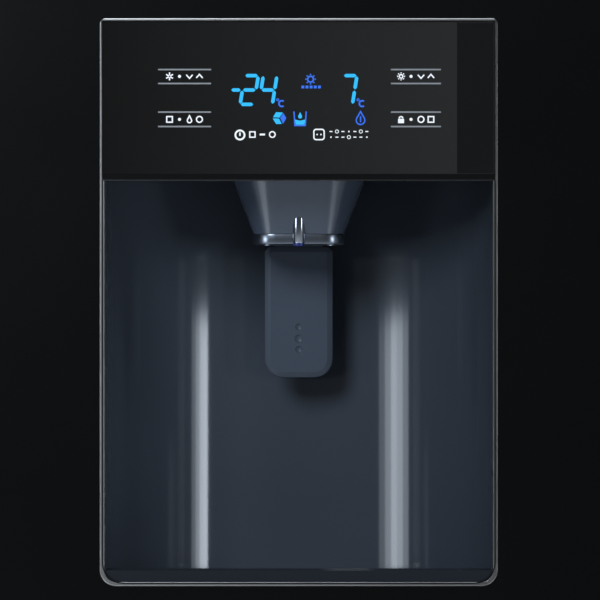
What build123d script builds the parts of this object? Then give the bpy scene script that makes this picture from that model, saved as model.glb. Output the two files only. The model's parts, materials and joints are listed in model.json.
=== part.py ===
from build123d import *
import math
import os

os.makedirs("parts", exist_ok=True)

# A side by side refrigerator with an ice and water dispenser in its left, freezer door.
# Millimetres. +Z is up, the doors face -Y, and the origin is on the floor under the middle of the box.

# Overall box
WIDTH = 910.0
DEPTH = 706.0
HEIGHT = 1786.0

# Cabinet walls
SHEET = 1.0              # painted steel sheet of the case, the back and the door skins
LINER = 2.0              # vacuum formed plastic liners
BASE_SHEET = 1.5         # galvanised sheet of the base
CASE_BOTTOM = 40.0       # floor to the underside of the cabinet
HINGE_COVER_H = 34.0     # cabinet top to the top of the hinge covers
FREEZER_WALL = 52.0
FRIDGE_WALL = 42.0
MULLION = 60.0
TOP_WALL = 50.0
BACK_WALL = 60.0
FLOOR_WALL = 60.0
LINER_R = 20.0           # rounding of the liners' floor, hump and ceiling
LINER_SIDE_R = 14.0      # rounding between the liners' side walls and the rest
MACHINE_D = 230.0        # machine compartment at the bottom rear
MACHINE_H = 260.0
HUMP_WALL = 60.0         # insulation between the machine compartment and the liners
HUMP_RUN = 30.0          # how far the hump leans back over its height

# Doors
FRAME_PROUD = 1.0        # dispenser frame in front of the door skin
DOOR_T = 61.0
SEAL_GAP = 12.0          # door back to the cabinet front, filled by the gasket
DOOR_GAP = 6.0           # between the two doors
SPLIT_X = -62.0          # middle of the gap between the doors
DOOR_BOTTOM = 52.0
DOOR_TOP_GAP = 4.0       # cabinet top down to the door top, the hinge plate's room
END_CAP = 14.0           # moulded caps at the top and bottom of each door
EDGE_R = 8.0             # front edge of a door on its hinge side
LIP_R = 3.0              # front edge of a door on its latch side
LIP_BACK = 12.0          # latch side lip, short of the door's side
LIP_T = 10.0             # lip thickness at the grip
GRIP_W = 18.0            # finger groove behind the lip
GRIP_DEPTH = 20.0        # groove depth past the lip
GRIP_WALL = 2.0

# Running clearances
SLIDE_CLEAR = 0.4        # drawers, trays and their runners
PIN_CLEAR = 0.05         # radial, hinge pins and shafts
SEAT_CLEAR = 0.3         # plain seats between bodies

CORNER_CUT = 2 - math.sqrt(2)   # straight cut that stands for a rounded corner, as a share of its radius

# Places worked out from the sizes above
X_LEFT = -WIDTH / 2
X_RIGHT = WIDTH / 2
Y_FRONT = -DEPTH / 2
Y_BACK = DEPTH / 2
Y_DOOR = Y_FRONT + FRAME_PROUD
Y_DOOR_BACK = Y_DOOR + DOOR_T
Y_CASE = Y_DOOR_BACK + SEAL_GAP
Y_MACHINE = Y_BACK - MACHINE_D
CASE_TOP = HEIGHT - HINGE_COVER_H
MACHINE_TOP = CASE_BOTTOM + MACHINE_H
DOOR_TOP = CASE_TOP - DOOR_TOP_GAP
CAVITY_Z0 = CASE_BOTTOM + FLOOR_WALL
CAVITY_Z1 = CASE_TOP - TOP_WALL
CAVITY_BACK = Y_BACK - BACK_WALL
FREEZER_X0 = X_LEFT + FREEZER_WALL
FREEZER_X1 = SPLIT_X - MULLION / 2
FRIDGE_X0 = SPLIT_X + MULLION / 2
FRIDGE_X1 = X_RIGHT - FRIDGE_WALL
HUMP_Y = Y_MACHINE - HUMP_WALL
HUMP_Z = MACHINE_TOP + HUMP_WALL
LEVELS_FOR = 1602.0      # inside height for which the levels of shelves, bins and dispenser are given


def level(height):
    """A level given above the cavity floor, moved in step with the inside height."""
    return CAVITY_Z0 + height * (CAVITY_Z1 - CAVITY_Z0) / LEVELS_FOR



# Small makers that the sections share

def rect(u0, u1, v0, v1, radius=0.0):
    """A flat rectangle between two corners, with its corners cut if a radius is given."""
    face = Pos((u0 + u1) / 2, (v0 + v1) / 2) * Rectangle(u1 - u0, v1 - v0)
    if radius:
        face = chamfer(face.vertices(), radius * CORNER_CUT)
    return face


def outline(*points):
    """A flat face through the points."""
    return Polygon(*points, align=None)


def from_front(face, y0, y1):
    """Push an X-Z outline from y0 back to y1."""
    return extrude(Plane.XZ.offset(-y0) * face, y1 - y0, dir=(0, 1, 0))


def across(face, x0, x1):
    """Push a Y-Z outline from x0 to x1."""
    return extrude(Plane.YZ.offset(x0) * face, x1 - x0, dir=(1, 0, 0))


def upright(face, z0, z1):
    """Push an X-Y outline from z0 up to z1."""
    return extrude(Plane.XY.offset(z0) * face, z1 - z0, dir=(0, 0, 1))


def block(x0, x1, y0, y1, z0, z1):
    """A straight block between two corners."""
    return upright(rect(x0, x1, y0, y1), z0, z1)


def rod(start, end, radius):
    """A round bar between two points."""
    line = Vector(*end) - Vector(*start)
    return extrude(Plane(origin=start, z_dir=line) * Circle(radius), line.length, dir=line.normalized())


def save(name, *solids):
    """Write one sub-part, as one solid or as a group of separate ones."""
    pieces = [piece for solid in solids for piece in solid.solids()]
    export_step(Compound(children=pieces) if len(pieces) > 1 else pieces[0], f"parts/{name}.step")


# Liners: one vacuum formed tub per compartment, stepped over the machine compartment

def cavity(x0, x1, grow):
    """The space inside a liner, or the liner's outside when grown by its wall."""
    face = outline(
        (Y_CASE, CAVITY_Z0 - grow),
        (HUMP_Y + grow, CAVITY_Z0 - grow),
        (HUMP_Y + HUMP_RUN + grow, HUMP_Z - grow),
        (CAVITY_BACK + grow, HUMP_Z - grow),
        (CAVITY_BACK + grow, CAVITY_Z1 + grow),
        (Y_CASE, CAVITY_Z1 + grow),
    )
    face = chamfer([v for v in face.vertices() if v.X > Y_CASE + grow], LINER_R * CORNER_CUT)
    tub = across(face, x0 - grow, x1 + grow)
    rims = [
        edge
        for edge in tub.edges()
        if edge.bounding_box().size.X < SHEET and edge.bounding_box().max.Y > Y_CASE + grow
    ]
    return chamfer(rims, LINER_SIDE_R * CORNER_CUT)


freezer_outside = cavity(FREEZER_X0, FREEZER_X1, LINER)
fridge_outside = cavity(FRIDGE_X0, FRIDGE_X1, LINER)
freezer_liner = freezer_outside - cavity(FREEZER_X0, FREEZER_X1, 0)
fridge_liner = fridge_outside - cavity(FRIDGE_X0, FRIDGE_X1, 0)

# Outer case: side, top and front frame folded from one sheet, open at the back and bottom
case_room = block(
    X_LEFT + SHEET, X_RIGHT - SHEET, Y_CASE + SHEET, Y_BACK, CASE_BOTTOM, CASE_TOP - SHEET
)
outer_case = block(X_LEFT, X_RIGHT, Y_CASE, Y_BACK, CASE_BOTTOM, CASE_TOP) - case_room
outer_case = outer_case - freezer_outside - fridge_outside

# Base: a stepped sheet under the insulation and over the machine compartment, on two rails
RAIL_W = 40.0            # channel rails along both sides of the base
RAIL_H = 30.0
RAIL_IN = 6.0            # rail in from the case side
TRAY_FLANGE = 12.0       # upturned rear edge of the compressor tray
base_profile = outline(
    (Y_CASE + SHEET, CASE_BOTTOM),
    (Y_BACK - SHEET, CASE_BOTTOM),
    (Y_BACK - SHEET, CASE_BOTTOM + TRAY_FLANGE),
    (Y_BACK - SHEET - BASE_SHEET, CASE_BOTTOM + TRAY_FLANGE),
    (Y_BACK - SHEET - BASE_SHEET, CASE_BOTTOM + BASE_SHEET),
    (Y_MACHINE + BASE_SHEET, CASE_BOTTOM + BASE_SHEET),
    (Y_MACHINE + BASE_SHEET, MACHINE_TOP),
    (Y_BACK - SHEET, MACHINE_TOP),
    (Y_BACK - SHEET, MACHINE_TOP + BASE_SHEET),
    (Y_MACHINE, MACHINE_TOP + BASE_SHEET),
    (Y_MACHINE, CASE_BOTTOM + BASE_SHEET),
    (Y_CASE + SHEET, CASE_BOTTOM + BASE_SHEET),
)
base_frame = across(base_profile, X_LEFT + SHEET, X_RIGHT - SHEET)
for side in (-1, 1):
    rail_out = side * (X_RIGHT - RAIL_IN)
    rail_in = rail_out - side * RAIL_W
    channel = rect(min(rail_out, rail_in), max(rail_out, rail_in), CASE_BOTTOM - RAIL_H, CASE_BOTTOM)
    hollow = rect(
        min(rail_out, rail_in) + BASE_SHEET,
        max(rail_out, rail_in) - BASE_SHEET,
        CASE_BOTTOM - RAIL_H,
        CASE_BOTTOM - BASE_SHEET,
    )
    base_frame = base_frame + from_front(channel - hollow, Y_CASE + SHEET, Y_BACK - SHEET)

# Foam: poured between the case, the back, the base and the two liners
foam_profile = outline(
    (Y_CASE + SHEET, CASE_BOTTOM + BASE_SHEET),
    (Y_MACHINE, CASE_BOTTOM + BASE_SHEET),
    (Y_MACHINE, MACHINE_TOP + BASE_SHEET),
    (Y_BACK - SHEET, MACHINE_TOP + BASE_SHEET),
    (Y_BACK - SHEET, CASE_TOP - SHEET),
    (Y_CASE + SHEET, CASE_TOP - SHEET),
)
cabinet_foam = across(foam_profile, X_LEFT + SHEET, X_RIGHT - SHEET) - freezer_outside - fridge_outside

# Back panel: a flat sheet with pressed stiffening swages, above the machine compartment
SWAGE_DEPTH = 0.4
SWAGE_W = 30.0
SWAGE_IN = 90.0          # swages in from the panel's edges
back_panel = from_front(
    rect(X_LEFT + SHEET, X_RIGHT - SHEET, MACHINE_TOP + BASE_SHEET, CASE_TOP - SHEET), Y_BACK - SHEET, Y_BACK
)
for swage_x in (X_LEFT + SWAGE_IN, 0.0, X_RIGHT - SWAGE_IN):
    swage = rect(
        swage_x - SWAGE_W / 2,
        swage_x + SWAGE_W / 2,
        MACHINE_TOP + SWAGE_IN,
        CASE_TOP - SWAGE_IN,
        SWAGE_W / 2 - SHEET,
    )
    back_panel = back_panel - from_front(swage, Y_BACK - SWAGE_DEPTH, Y_BACK)

# Machine cover: a louvred panel screwed over the machine compartment
LOUVRE_W = 70.0
LOUVRE_H = 5.0
LOUVRE_ROWS = 6
LOUVRE_COLUMNS = 4
LOUVRE_PITCH_X = 96.0
LOUVRE_PITCH_Z = 22.0
machine_mid_z = (CASE_BOTTOM + MACHINE_TOP) / 2
machine_cover = from_front(
    rect(X_LEFT + SHEET, X_RIGHT - SHEET, CASE_BOTTOM, MACHINE_TOP + BASE_SHEET), Y_BACK - SHEET, Y_BACK
)
louvres = Sketch() + [
    place * Rectangle(LOUVRE_W, LOUVRE_H)
    for place in GridLocations(LOUVRE_PITCH_X, LOUVRE_PITCH_Z, LOUVRE_COLUMNS, LOUVRE_ROWS)
]
machine_cover = machine_cover - from_front(Pos(0, machine_mid_z) * louvres, Y_BACK - SHEET, Y_BACK)

# Dispenser sizes, taken about the middle of the dispenser frame
DISP_LEVEL = 1040.0      # middle of the frame above the cavity floor
FRAME_W = 240.0
FRAME_H = 342.0
FRAME_TOP_R = 3.5
FRAME_BOTTOM_R = 10.0
FRAME_DEPTH = 12.0
FRAME_LINE = 1.5         # frame line round the control panel
FRAME_SIDE = 2.9         # frame beside the recess
FRAME_SILL = 2.4         # frame under the recess
CROSSBAR = 1.0           # bright line between panel and recess
PANEL_GAP = 2.0          # dark gap between panel and crossbar
PANEL_H = 93.0
PANEL_T = 3.2
PANEL_SET = 0.4          # glass behind the frame's face
NICHE_DEPTH = 96.0
NICHE_ROOF = 10.0        # roof above the crossbar, out of sight behind the panel
FLOOR_DROP = 11.0        # recess floor under the frame's sill, where the drip tray sits
HOUSING_WALL = 2.5
NICHE_SIDE_R = 78.0      # side arcs of the niche's plan
BULGE = 20.0             # insulation round the niche

DISP_Z = level(DISP_LEVEL)
lip_x = SPLIT_X - DOOR_GAP / 2 - LIP_BACK
DISP_X = (X_LEFT + lip_x) / 2
FRAME_X0 = DISP_X - FRAME_W / 2
FRAME_X1 = DISP_X + FRAME_W / 2
FRAME_Z0 = DISP_Z - FRAME_H / 2
FRAME_Z1 = DISP_Z + FRAME_H / 2
Y_NICHE = Y_FRONT + FRAME_DEPTH
NICHE_HALF = FRAME_W / 2 - FRAME_SIDE
SILL_Z = FRAME_Z0 + FRAME_SILL
FLOOR_Z = SILL_Z - FLOOR_DROP
PANEL_Z1 = FRAME_Z1 - FRAME_LINE
PANEL_Z0 = PANEL_Z1 - PANEL_H
CROSSBAR_Z1 = PANEL_Z0 - PANEL_GAP
CROSSBAR_Z0 = CROSSBAR_Z1 - CROSSBAR
ROOF_Z = CROSSBAR_Z0 + NICHE_ROOF


def niche_plan(grow, lead):
    """The niche in plan, grown by a wall: two side arcs and a wide back arc behind a straight mouth."""
    half = NICHE_HALF + grow
    depth = NICHE_DEPTH + grow
    side_r = NICHE_SIDE_R + grow
    back_r = (half**2 + depth**2 - 2 * half * side_r) / (2 * (depth - side_r))
    reach = back_r / (back_r - side_r)
    meet_x = (half - side_r) * reach
    meet_y = (depth - back_r) * (1 - reach)
    bowl = make_face(
        [
            Line((-half, 0), (half, 0)),
            TangentArc((half, 0), (meet_x, meet_y), tangent=(0, 1)),
            ThreePointArc((meet_x, meet_y), (0, depth), (-meet_x, meet_y)),
            TangentArc((-half, 0), (-meet_x, meet_y), tangent=(0, 1)),
        ]
    )
    if lead:
        bowl = bowl + rect(-half, half, -lead, 0)
    return Pos(DISP_X, Y_NICHE) * bowl


def frame_outline(inset):
    """The dispenser frame's outer edge, or the same edge drawn in."""
    face = rect(FRAME_X0 + inset, FRAME_X1 - inset, FRAME_Z0 + inset, FRAME_Z1 - inset)
    low = [v for v in face.vertices() if v.Y < DISP_Z]
    face = fillet(low, FRAME_BOTTOM_R - inset)
    high = [v for v in face.vertices() if v.Y > FRAME_Z1 - inset - SHEET / 2]
    return fillet(high, FRAME_TOP_R - inset / 2)


def recess_opening(inset):
    """The open window of the frame under the crossbar."""
    half = NICHE_HALF - inset
    face = rect(DISP_X - half, DISP_X + half, SILL_Z, CROSSBAR_Z0)
    low = [v for v in face.vertices() if v.Y < DISP_Z]
    return fillet(low, FRAME_BOTTOM_R - FRAME_SIDE)


# Ice way through the freezer door: an upright duct, a spout to the back and a funnel into the recess
DUCT_W = 88.2
DUCT_D = 68.0
DUCT_R = 12.0
FUNNEL_R = 30.0
DUCT_Y = 44.0            # middle of the duct behind the back of the frame
DUCT_H = 128.0           # duct above the recess roof
DUCT_WALL = 2.2
MOUTH_IN = 18.2          # how far the funnel draws in to its mouth
MOUTH_Z = 37.0           # funnel mouth above the middle of the frame
COLLAR_H = 4.5           # bright collar round the mouth
COLLAR_T = 2.0
COLLAR_DROP = 1.2        # collar below the mouth
SPOUT_W = 60.0
SPOUT_H = 50.0
SPOUT_DOWN = 6.0         # spout under the duct's closed top
duct_y = Y_NICHE + DUCT_Y
duct_top = ROOF_Z + DUCT_H
mouth_z = DISP_Z + MOUTH_Z
bulge_back = Y_NICHE + NICHE_DEPTH + HOUSING_WALL + BULGE
spout_z1 = duct_top - SPOUT_DOWN
spout_z0 = spout_z1 - SPOUT_H


def duct_section(inset):
    """The duct's plan, or its bore when drawn in."""
    return Pos(DISP_X, duct_y) * RectangleRounded(DUCT_W - 2 * inset, DUCT_D - 2 * inset, DUCT_R - inset)


def spout(inset):
    """The square way from the liner into the duct, or its bore when drawn in."""
    half = SPOUT_W / 2 - inset
    way = rect(DISP_X - half, DISP_X + half, spout_z0 + inset, spout_z1 - inset)
    return from_front(way, duct_y, bulge_back)


duct_outside = upright(duct_section(0), ROOF_Z, duct_top) + spout(0)
duct_bore = upright(duct_section(DUCT_WALL), ROOF_Z, duct_top - DUCT_WALL) + spout(DUCT_WALL)


funnel_x = DUCT_W / 2 - FUNNEL_R
funnel_y = DUCT_D / 2 - FUNNEL_R


def funnel_section(inset):
    """A level cut through the funnel, drawn in all round from its size under the roof."""
    return Pos(DISP_X, duct_y) * RectangleRounded(DUCT_W - 2 * inset, DUCT_D - 2 * inset, FUNNEL_R - inset)


def slope(half, z0, z1, draw):
    """An upright face, half wide at its top and drawn in at its foot."""
    return outline((draw - half, z0), (half - draw, z0), (half, z1), (-half, z1))


def funnel(inset):
    """The lower end of the ice way, or its bore when drawn in: flat slopes between four quarter cones."""
    side = Pos(duct_y, 0) * slope(DUCT_D / 2 - inset, mouth_z, ROOF_Z, MOUTH_IN)
    front = Pos(DISP_X, 0) * slope(DUCT_W / 2 - inset, mouth_z, ROOF_Z, MOUTH_IN)
    solid = across(side, DISP_X - funnel_x, DISP_X + funnel_x)
    solid = solid + from_front(front, duct_y - funnel_y, duct_y + funnel_y)
    top_r = FUNNEL_R - inset
    half = outline((0, mouth_z), (top_r - MOUTH_IN, mouth_z), (top_r, ROOF_Z), (0, ROOF_Z))
    quarter = revolve(Plane.XZ * half, Axis.Z, 90)
    for turn, (side_x, side_y) in enumerate(((1, 1), (-1, 1), (-1, -1), (1, -1))):
        corner = Pos(DISP_X + side_x * funnel_x, duct_y + side_y * funnel_y) * Rot(0, 0, 90 * turn)
        solid = solid + corner * quarter
    return solid


# Dispenser frame: a thin bright moulding round panel and recess, with the crossbar
FRAME_EDGE = 0.5         # eased front edge
frame_face = frame_outline(0) - recess_opening(0)
frame_face = frame_face - rect(FRAME_X0 + FRAME_LINE, FRAME_X1 - FRAME_LINE, CROSSBAR_Z1, PANEL_Z1)
dispenser_frame = from_front(frame_face, Y_FRONT, Y_NICHE)
front_edges = dispenser_frame.faces().sort_by(Axis.Y)[0].outer_wire().edges()
dispenser_frame = chamfer(front_edges, FRAME_EDGE)

# Dispenser housing: a moulded plate behind the frame with the curved niche
niche_outside = upright(niche_plan(HOUSING_WALL, 0), FLOOR_Z - HOUSING_WALL, ROOF_Z + HOUSING_WALL)
housing_plate = from_front(frame_outline(FRAME_LINE), Y_NICHE, Y_NICHE + HOUSING_WALL)
niche_window = from_front(
    rect(DISP_X - NICHE_HALF, DISP_X + NICHE_HALF, SILL_Z, CROSSBAR_Z0), Y_NICHE, Y_NICHE + HOUSING_WALL
)
niche_rims = Sketch() + [
    rect(FRAME_X0, FRAME_X1, CROSSBAR_Z0, ROOF_Z),
    rect(FRAME_X0, FRAME_X1, FLOOR_Z, SILL_Z),
]
niche_front = upright(niche_plan(0, 0), FLOOR_Z, ROOF_Z)
niche_front = niche_front - from_front(niche_rims, Y_NICHE, Y_NICHE + HOUSING_WALL)
housing_block = niche_outside + housing_plate
dispenser_housing = housing_block - niche_front - niche_window - upright(
    duct_section(0), ROOF_Z, ROOF_Z + HOUSING_WALL
)

# Paddle pivot: two ears on the niche's back wall
PADDLE_W = 42.6
PADDLE_H = 82.0
PADDLE_T = 4.0
PADDLE_R = 12.0
PADDLE_Y = 66.0          # paddle face behind the back of the frame
PIVOT_Y = 79.0           # pivot behind the back of the frame
PIVOT_Z = 36.0           # pivot above the middle of the frame
HUB_R = 4.0
HUB_HALF = 15.0
PIVOT_R = 2.0
EAR_T = 3.0
EAR_R = 6.0
pivot_y = Y_NICHE + PIVOT_Y
pivot_z = DISP_Z + PIVOT_Z
for side in (-1, 1):
    ear_in = DISP_X + side * (HUB_HALF + SEAT_CLEAR)
    ear_out = ear_in + side * EAR_T
    ear = rect(pivot_y - EAR_R, Y_NICHE + NICHE_DEPTH + HOUSING_WALL / 2, pivot_z - EAR_R, pivot_z + EAR_R)
    ear = ear - Pos(pivot_y, pivot_z) * Circle(PIVOT_R + PIN_CLEAR)
    ear = across(ear, min(ear_in, ear_out), max(ear_in, ear_out))
    dispenser_housing = dispenser_housing + (ear & niche_outside)

# Paddle: a dimpled lever that a cup pushes back, on an eye and pin of its own
DIMPLE_R = 2.4
DIMPLE_SIDES = 12
DIMPLES = 3
DIMPLE_STEP = 7.4
DIMPLE_DEEP = 0.8
DIMPLE_Z = 27.0          # lowest dimple above the paddle's foot
PADDLE_BEVEL = 1.5
PADDLE_CUT = 3.0         # cut top corners
PADDLE_GAP = 1.0         # paddle under the funnel's collar
paddle_top = mouth_z - COLLAR_DROP - PADDLE_GAP
paddle_z0 = paddle_top - PADDLE_H
paddle_face = rect(DISP_X - PADDLE_W / 2, DISP_X + PADDLE_W / 2, paddle_z0, paddle_top)
paddle_face = fillet([v for v in paddle_face.vertices() if v.Y < paddle_top - HUB_R], PADDLE_R)
paddle_face = chamfer([v for v in paddle_face.vertices() if v.Y > paddle_top - SHEET / 2], PADDLE_CUT)
paddle_y = Y_NICHE + PADDLE_Y
paddle = from_front(paddle_face, paddle_y, paddle_y + PADDLE_T)
paddle = chamfer(paddle.faces().sort_by(Axis.Y)[0].outer_wire().edges(), PADDLE_BEVEL)
for step in range(DIMPLES):
    dimple = Pos(DISP_X, paddle_z0 + DIMPLE_Z + step * DIMPLE_STEP) * RegularPolygon(DIMPLE_R, DIMPLE_SIDES)
    paddle = paddle - from_front(dimple, paddle_y, paddle_y + DIMPLE_DEEP)
paddle_eye = block(
    DISP_X - HUB_HALF,
    DISP_X + HUB_HALF,
    paddle_y + PADDLE_T / 2,
    pivot_y + HUB_R,
    pivot_z - 2 * HUB_R,
    pivot_z + HUB_R,
)
pin_half = HUB_HALF + SEAT_CLEAR + EAR_T
pivot_pin = rod((DISP_X - pin_half, pivot_y, pivot_z), (DISP_X + pin_half, pivot_y, pivot_z), PIVOT_R)
paddle = paddle + paddle_eye + pivot_pin

# Paddle switch: a small sealed switch under the recess roof, its lever resting over the hub
SWITCH_W = 20.0
SWITCH_D = 10.0
SWITCH_H = 16.0
LEVER_W = 6.0
LEVER_T = 0.6
paddle_switch = block(
    DISP_X - SWITCH_W / 2,
    DISP_X + SWITCH_W / 2,
    pivot_y - LEVER_T,
    pivot_y - LEVER_T + SWITCH_D,
    ROOF_Z - SWITCH_H,
    ROOF_Z,
) + block(
    DISP_X - LEVER_W / 2,
    DISP_X + LEVER_W / 2,
    pivot_y - LEVER_T,
    pivot_y,
    pivot_z + HUB_R + SEAT_CLEAR,
    ROOF_Z - SWITCH_H,
)

# Water nozzle: a bright tube let into the front of the funnel
NOZZLE_R = 3.9
NOZZLE_BORE = 2.4
NOZZLE_H = 17.6
NOZZLE_DROP = 2.6        # tip below the funnel's mouth
NOZZLE_OUT = 2.2         # tube axis in front of the mouth
nozzle_y = duct_y - DUCT_D / 2 + MOUTH_IN - NOZZLE_OUT
nozzle_place = Pos(DISP_X, nozzle_y, mouth_z - NOZZLE_DROP)
nozzle_solid = nozzle_place * Pos(0, 0, NOZZLE_H / 2) * Cylinder(NOZZLE_R, NOZZLE_H)
nozzle_bore = nozzle_place * Pos(0, 0, NOZZLE_H / 4) * Cylinder(NOZZLE_BORE, NOZZLE_H / 2)
water_nozzle = nozzle_solid - nozzle_bore

# Ice chute: the duct, spout and funnel in one moulding, with a bright collar round the mouth
FLAP_PIN_R = 2.0
FLAP_PIN_IN = 6.0        # flap hinge in from the duct's back wall
FLAP_T = 2.5
FLAP_DROP = 4.0          # flap hinge below the spout's floor
FLAP_EDGE = 3.0          # flap's edge clear of the bore
flap_y = duct_y + DUCT_D / 2 - DUCT_WALL - FLAP_PIN_IN
flap_z = spout_z0 - FLAP_DROP
collar = upright(funnel_section(MOUTH_IN - COLLAR_T), mouth_z - COLLAR_DROP, mouth_z + COLLAR_H)
collar_bore = upright(funnel_section(MOUTH_IN + DUCT_WALL), mouth_z - COLLAR_DROP, mouth_z)
ice_chute = (duct_outside + funnel(0) + collar) - duct_bore - funnel(DUCT_WALL) - collar_bore
corner_y = flap_y + FLAP_PIN_R - duct_y - (DUCT_D / 2 - DUCT_R)
flap_pin_half = DUCT_W / 2 - DUCT_R + math.sqrt(DUCT_R**2 - corner_y**2) - DUCT_WALL / 4
flap_pin_hole = rod(
    (DISP_X - flap_pin_half, flap_y, flap_z), (DISP_X + flap_pin_half, flap_y, flap_z), FLAP_PIN_R + PIN_CLEAR
)
ice_chute = ice_chute - nozzle_solid - flap_pin_hole

# Ice flap: an insulated lid across the duct, hinged at the back and opened by the paddle
flap_plan = duct_section(DUCT_WALL + FLAP_EDGE) & rect(
    DISP_X - DUCT_W / 2, DISP_X + DUCT_W / 2, duct_y - DUCT_D / 2, flap_y
)
flap_pin = rod(
    (DISP_X - flap_pin_half, flap_y, flap_z), (DISP_X + flap_pin_half, flap_y, flap_z), FLAP_PIN_R
)
ice_flap = upright(flap_plan, flap_z - FLAP_T / 2, flap_z + FLAP_T / 2) + flap_pin

# Control panel: one pane of dark glass inside the frame, with its display board behind
BOARD_W = 190.0
BOARD_H = 70.0
BOARD_T = 1.6
BOARD_BACK = 4.0         # board off the housing plate, on four bosses
BOSS_W = 6.0
BOSS_IN = 6.0
glass_front = Y_FRONT + PANEL_SET
control_panel = from_front(
    rect(FRAME_X0 + FRAME_LINE, FRAME_X1 - FRAME_LINE, PANEL_Z0, PANEL_Z1), glass_front, glass_front + PANEL_T
)
panel_mid_z = (PANEL_Z0 + PANEL_Z1) / 2
board_back = Y_NICHE - BOARD_BACK
display_board = from_front(
    rect(
        DISP_X - BOARD_W / 2, DISP_X + BOARD_W / 2, panel_mid_z - BOARD_H / 2, panel_mid_z + BOARD_H / 2
    ),
    board_back - BOARD_T,
    board_back,
)
bosses = Sketch() + [
    place * Rectangle(BOSS_W, BOSS_W)
    for place in GridLocations(BOARD_W - 2 * BOSS_IN, BOARD_H - 2 * BOSS_IN, 2, 2)
]
dispenser_housing = dispenser_housing + from_front(
    Pos(DISP_X, panel_mid_z) * bosses, board_back, Y_NICHE + HOUSING_WALL / 2
)

# Drip tray: a pan sunk in the recess floor behind a bar on the sill, with a slotted grille; it lifts out
BAR_H = 7.0              # tray's front bar above the sill
TRAY_WALL = 1.6
TRAY_CLEAR = 0.8         # tray to the niche wall
TRAY_SET = 0.6           # tray front behind the frame's face
GRILLE_T = 1.6
GRILLE_DOWN = 3.0        # grille and tray rim under the sill
GRILLE_SLOTS = 13
GRILLE_SLOT_W = 5.0
GRILLE_SLOT_L = 56.0
GRILLE_PITCH = 11.0
GRILLE_BACK = 40.0       # middle of the slots behind the back of the frame
GRILLE_LEG = 6.0
tray_y = Y_NICHE + HOUSING_WALL + TRAY_CLEAR
tray_rim = SILL_Z - GRILLE_DOWN
tray_plan = niche_plan(-TRAY_CLEAR, 0) & rect(FRAME_X0, FRAME_X1, tray_y, Y_BACK)
pan_plan = niche_plan(-TRAY_CLEAR - TRAY_WALL, 0) & rect(FRAME_X0, FRAME_X1, tray_y + TRAY_WALL, Y_BACK)
tray_front = tray_plan & rect(FRAME_X0, FRAME_X1, tray_y, tray_y + TRAY_WALL)
front_bar = recess_opening(TRAY_CLEAR) & rect(FRAME_X0, FRAME_X1, SILL_Z, SILL_Z + BAR_H)
drip_tray = upright(tray_plan, FLOOR_Z, tray_rim) - upright(pan_plan, FLOOR_Z + TRAY_WALL, tray_rim)
drip_tray = drip_tray + upright(tray_front, FLOOR_Z, SILL_Z + BAR_H)
drip_tray = drip_tray + from_front(front_bar, Y_FRONT + TRAY_SET, tray_y + TRAY_WALL)
slots = Sketch() + [
    place * Rectangle(GRILLE_SLOT_W, GRILLE_SLOT_L)
    for place in GridLocations(GRILLE_PITCH, 1, GRILLE_SLOTS, 1)
]
slots = Pos(DISP_X, Y_NICHE + GRILLE_BACK) * slots
drip_grille = upright(pan_plan - slots, tray_rim - GRILLE_T, tray_rim)
for leg_side in (-1, 1):
    leg = Pos(DISP_X + leg_side * GRILLE_PITCH * GRILLE_SLOTS / 2, Y_NICHE + GRILLE_BACK)
    drip_grille = drip_grille + upright(
        leg * Rectangle(GRILLE_LEG, GRILLE_LEG), FLOOR_Z + TRAY_WALL, tray_rim - GRILLE_T
    )

# Doors: each has a folded skin, two moulded end caps, a grip strip, poured foam, a formed liner,
# a magnetic gasket and a set of bins
FREEZER_LATCH = SPLIT_X - DOOR_GAP / 2
FRIDGE_LATCH = SPLIT_X + DOOR_GAP / 2
HINGE_IN = 18.0          # hinge axis in from the door's side
HINGE_DEEP = 31.0        # hinge axis behind the door's face
HINGE_PIN_R = 6.0
HINGE_PIN_H = 10.0
DIKE_H = 30.0            # raised ring of the door liner
DIKE_W = 16.0
DIKE_CLEAR = 11.0        # ring to the cabinet liner's walls
DIKE_R = 20.0
GASKET_W = 14.0
GASKET_WAIST = 3.0
GASKET_FOOT = 3.5
GASKET_HEAD = 4.0
GASKET_R = 6.0
GASKET_OUT = 8.0         # gasket outside the cabinet opening
GASKET_CLEAR = 0.4       # magnet face to the cabinet front
BIN_D = 105.0            # bins reach this far behind the door's back
BIN_H = 92.0
BIN_WALL = 2.4
BIN_R = 30.0
BIN_DIP = 26.0           # lowered front edge of the bins
Y_LIP = Y_DOOR + LIP_T
Y_GROOVE = Y_LIP + GRIP_W
HINGE_Y = Y_DOOR + HINGE_DEEP
body_z0 = DOOR_BOTTOM + END_CAP
body_z1 = DOOR_TOP - END_CAP


def round_corner(face, point, radius):
    """Round the one corner of a flat outline that is nearest to a point."""
    corner = min(face.vertices(), key=lambda v: math.dist((v.X, v.Y), point))
    return fillet(corner, radius)


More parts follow.
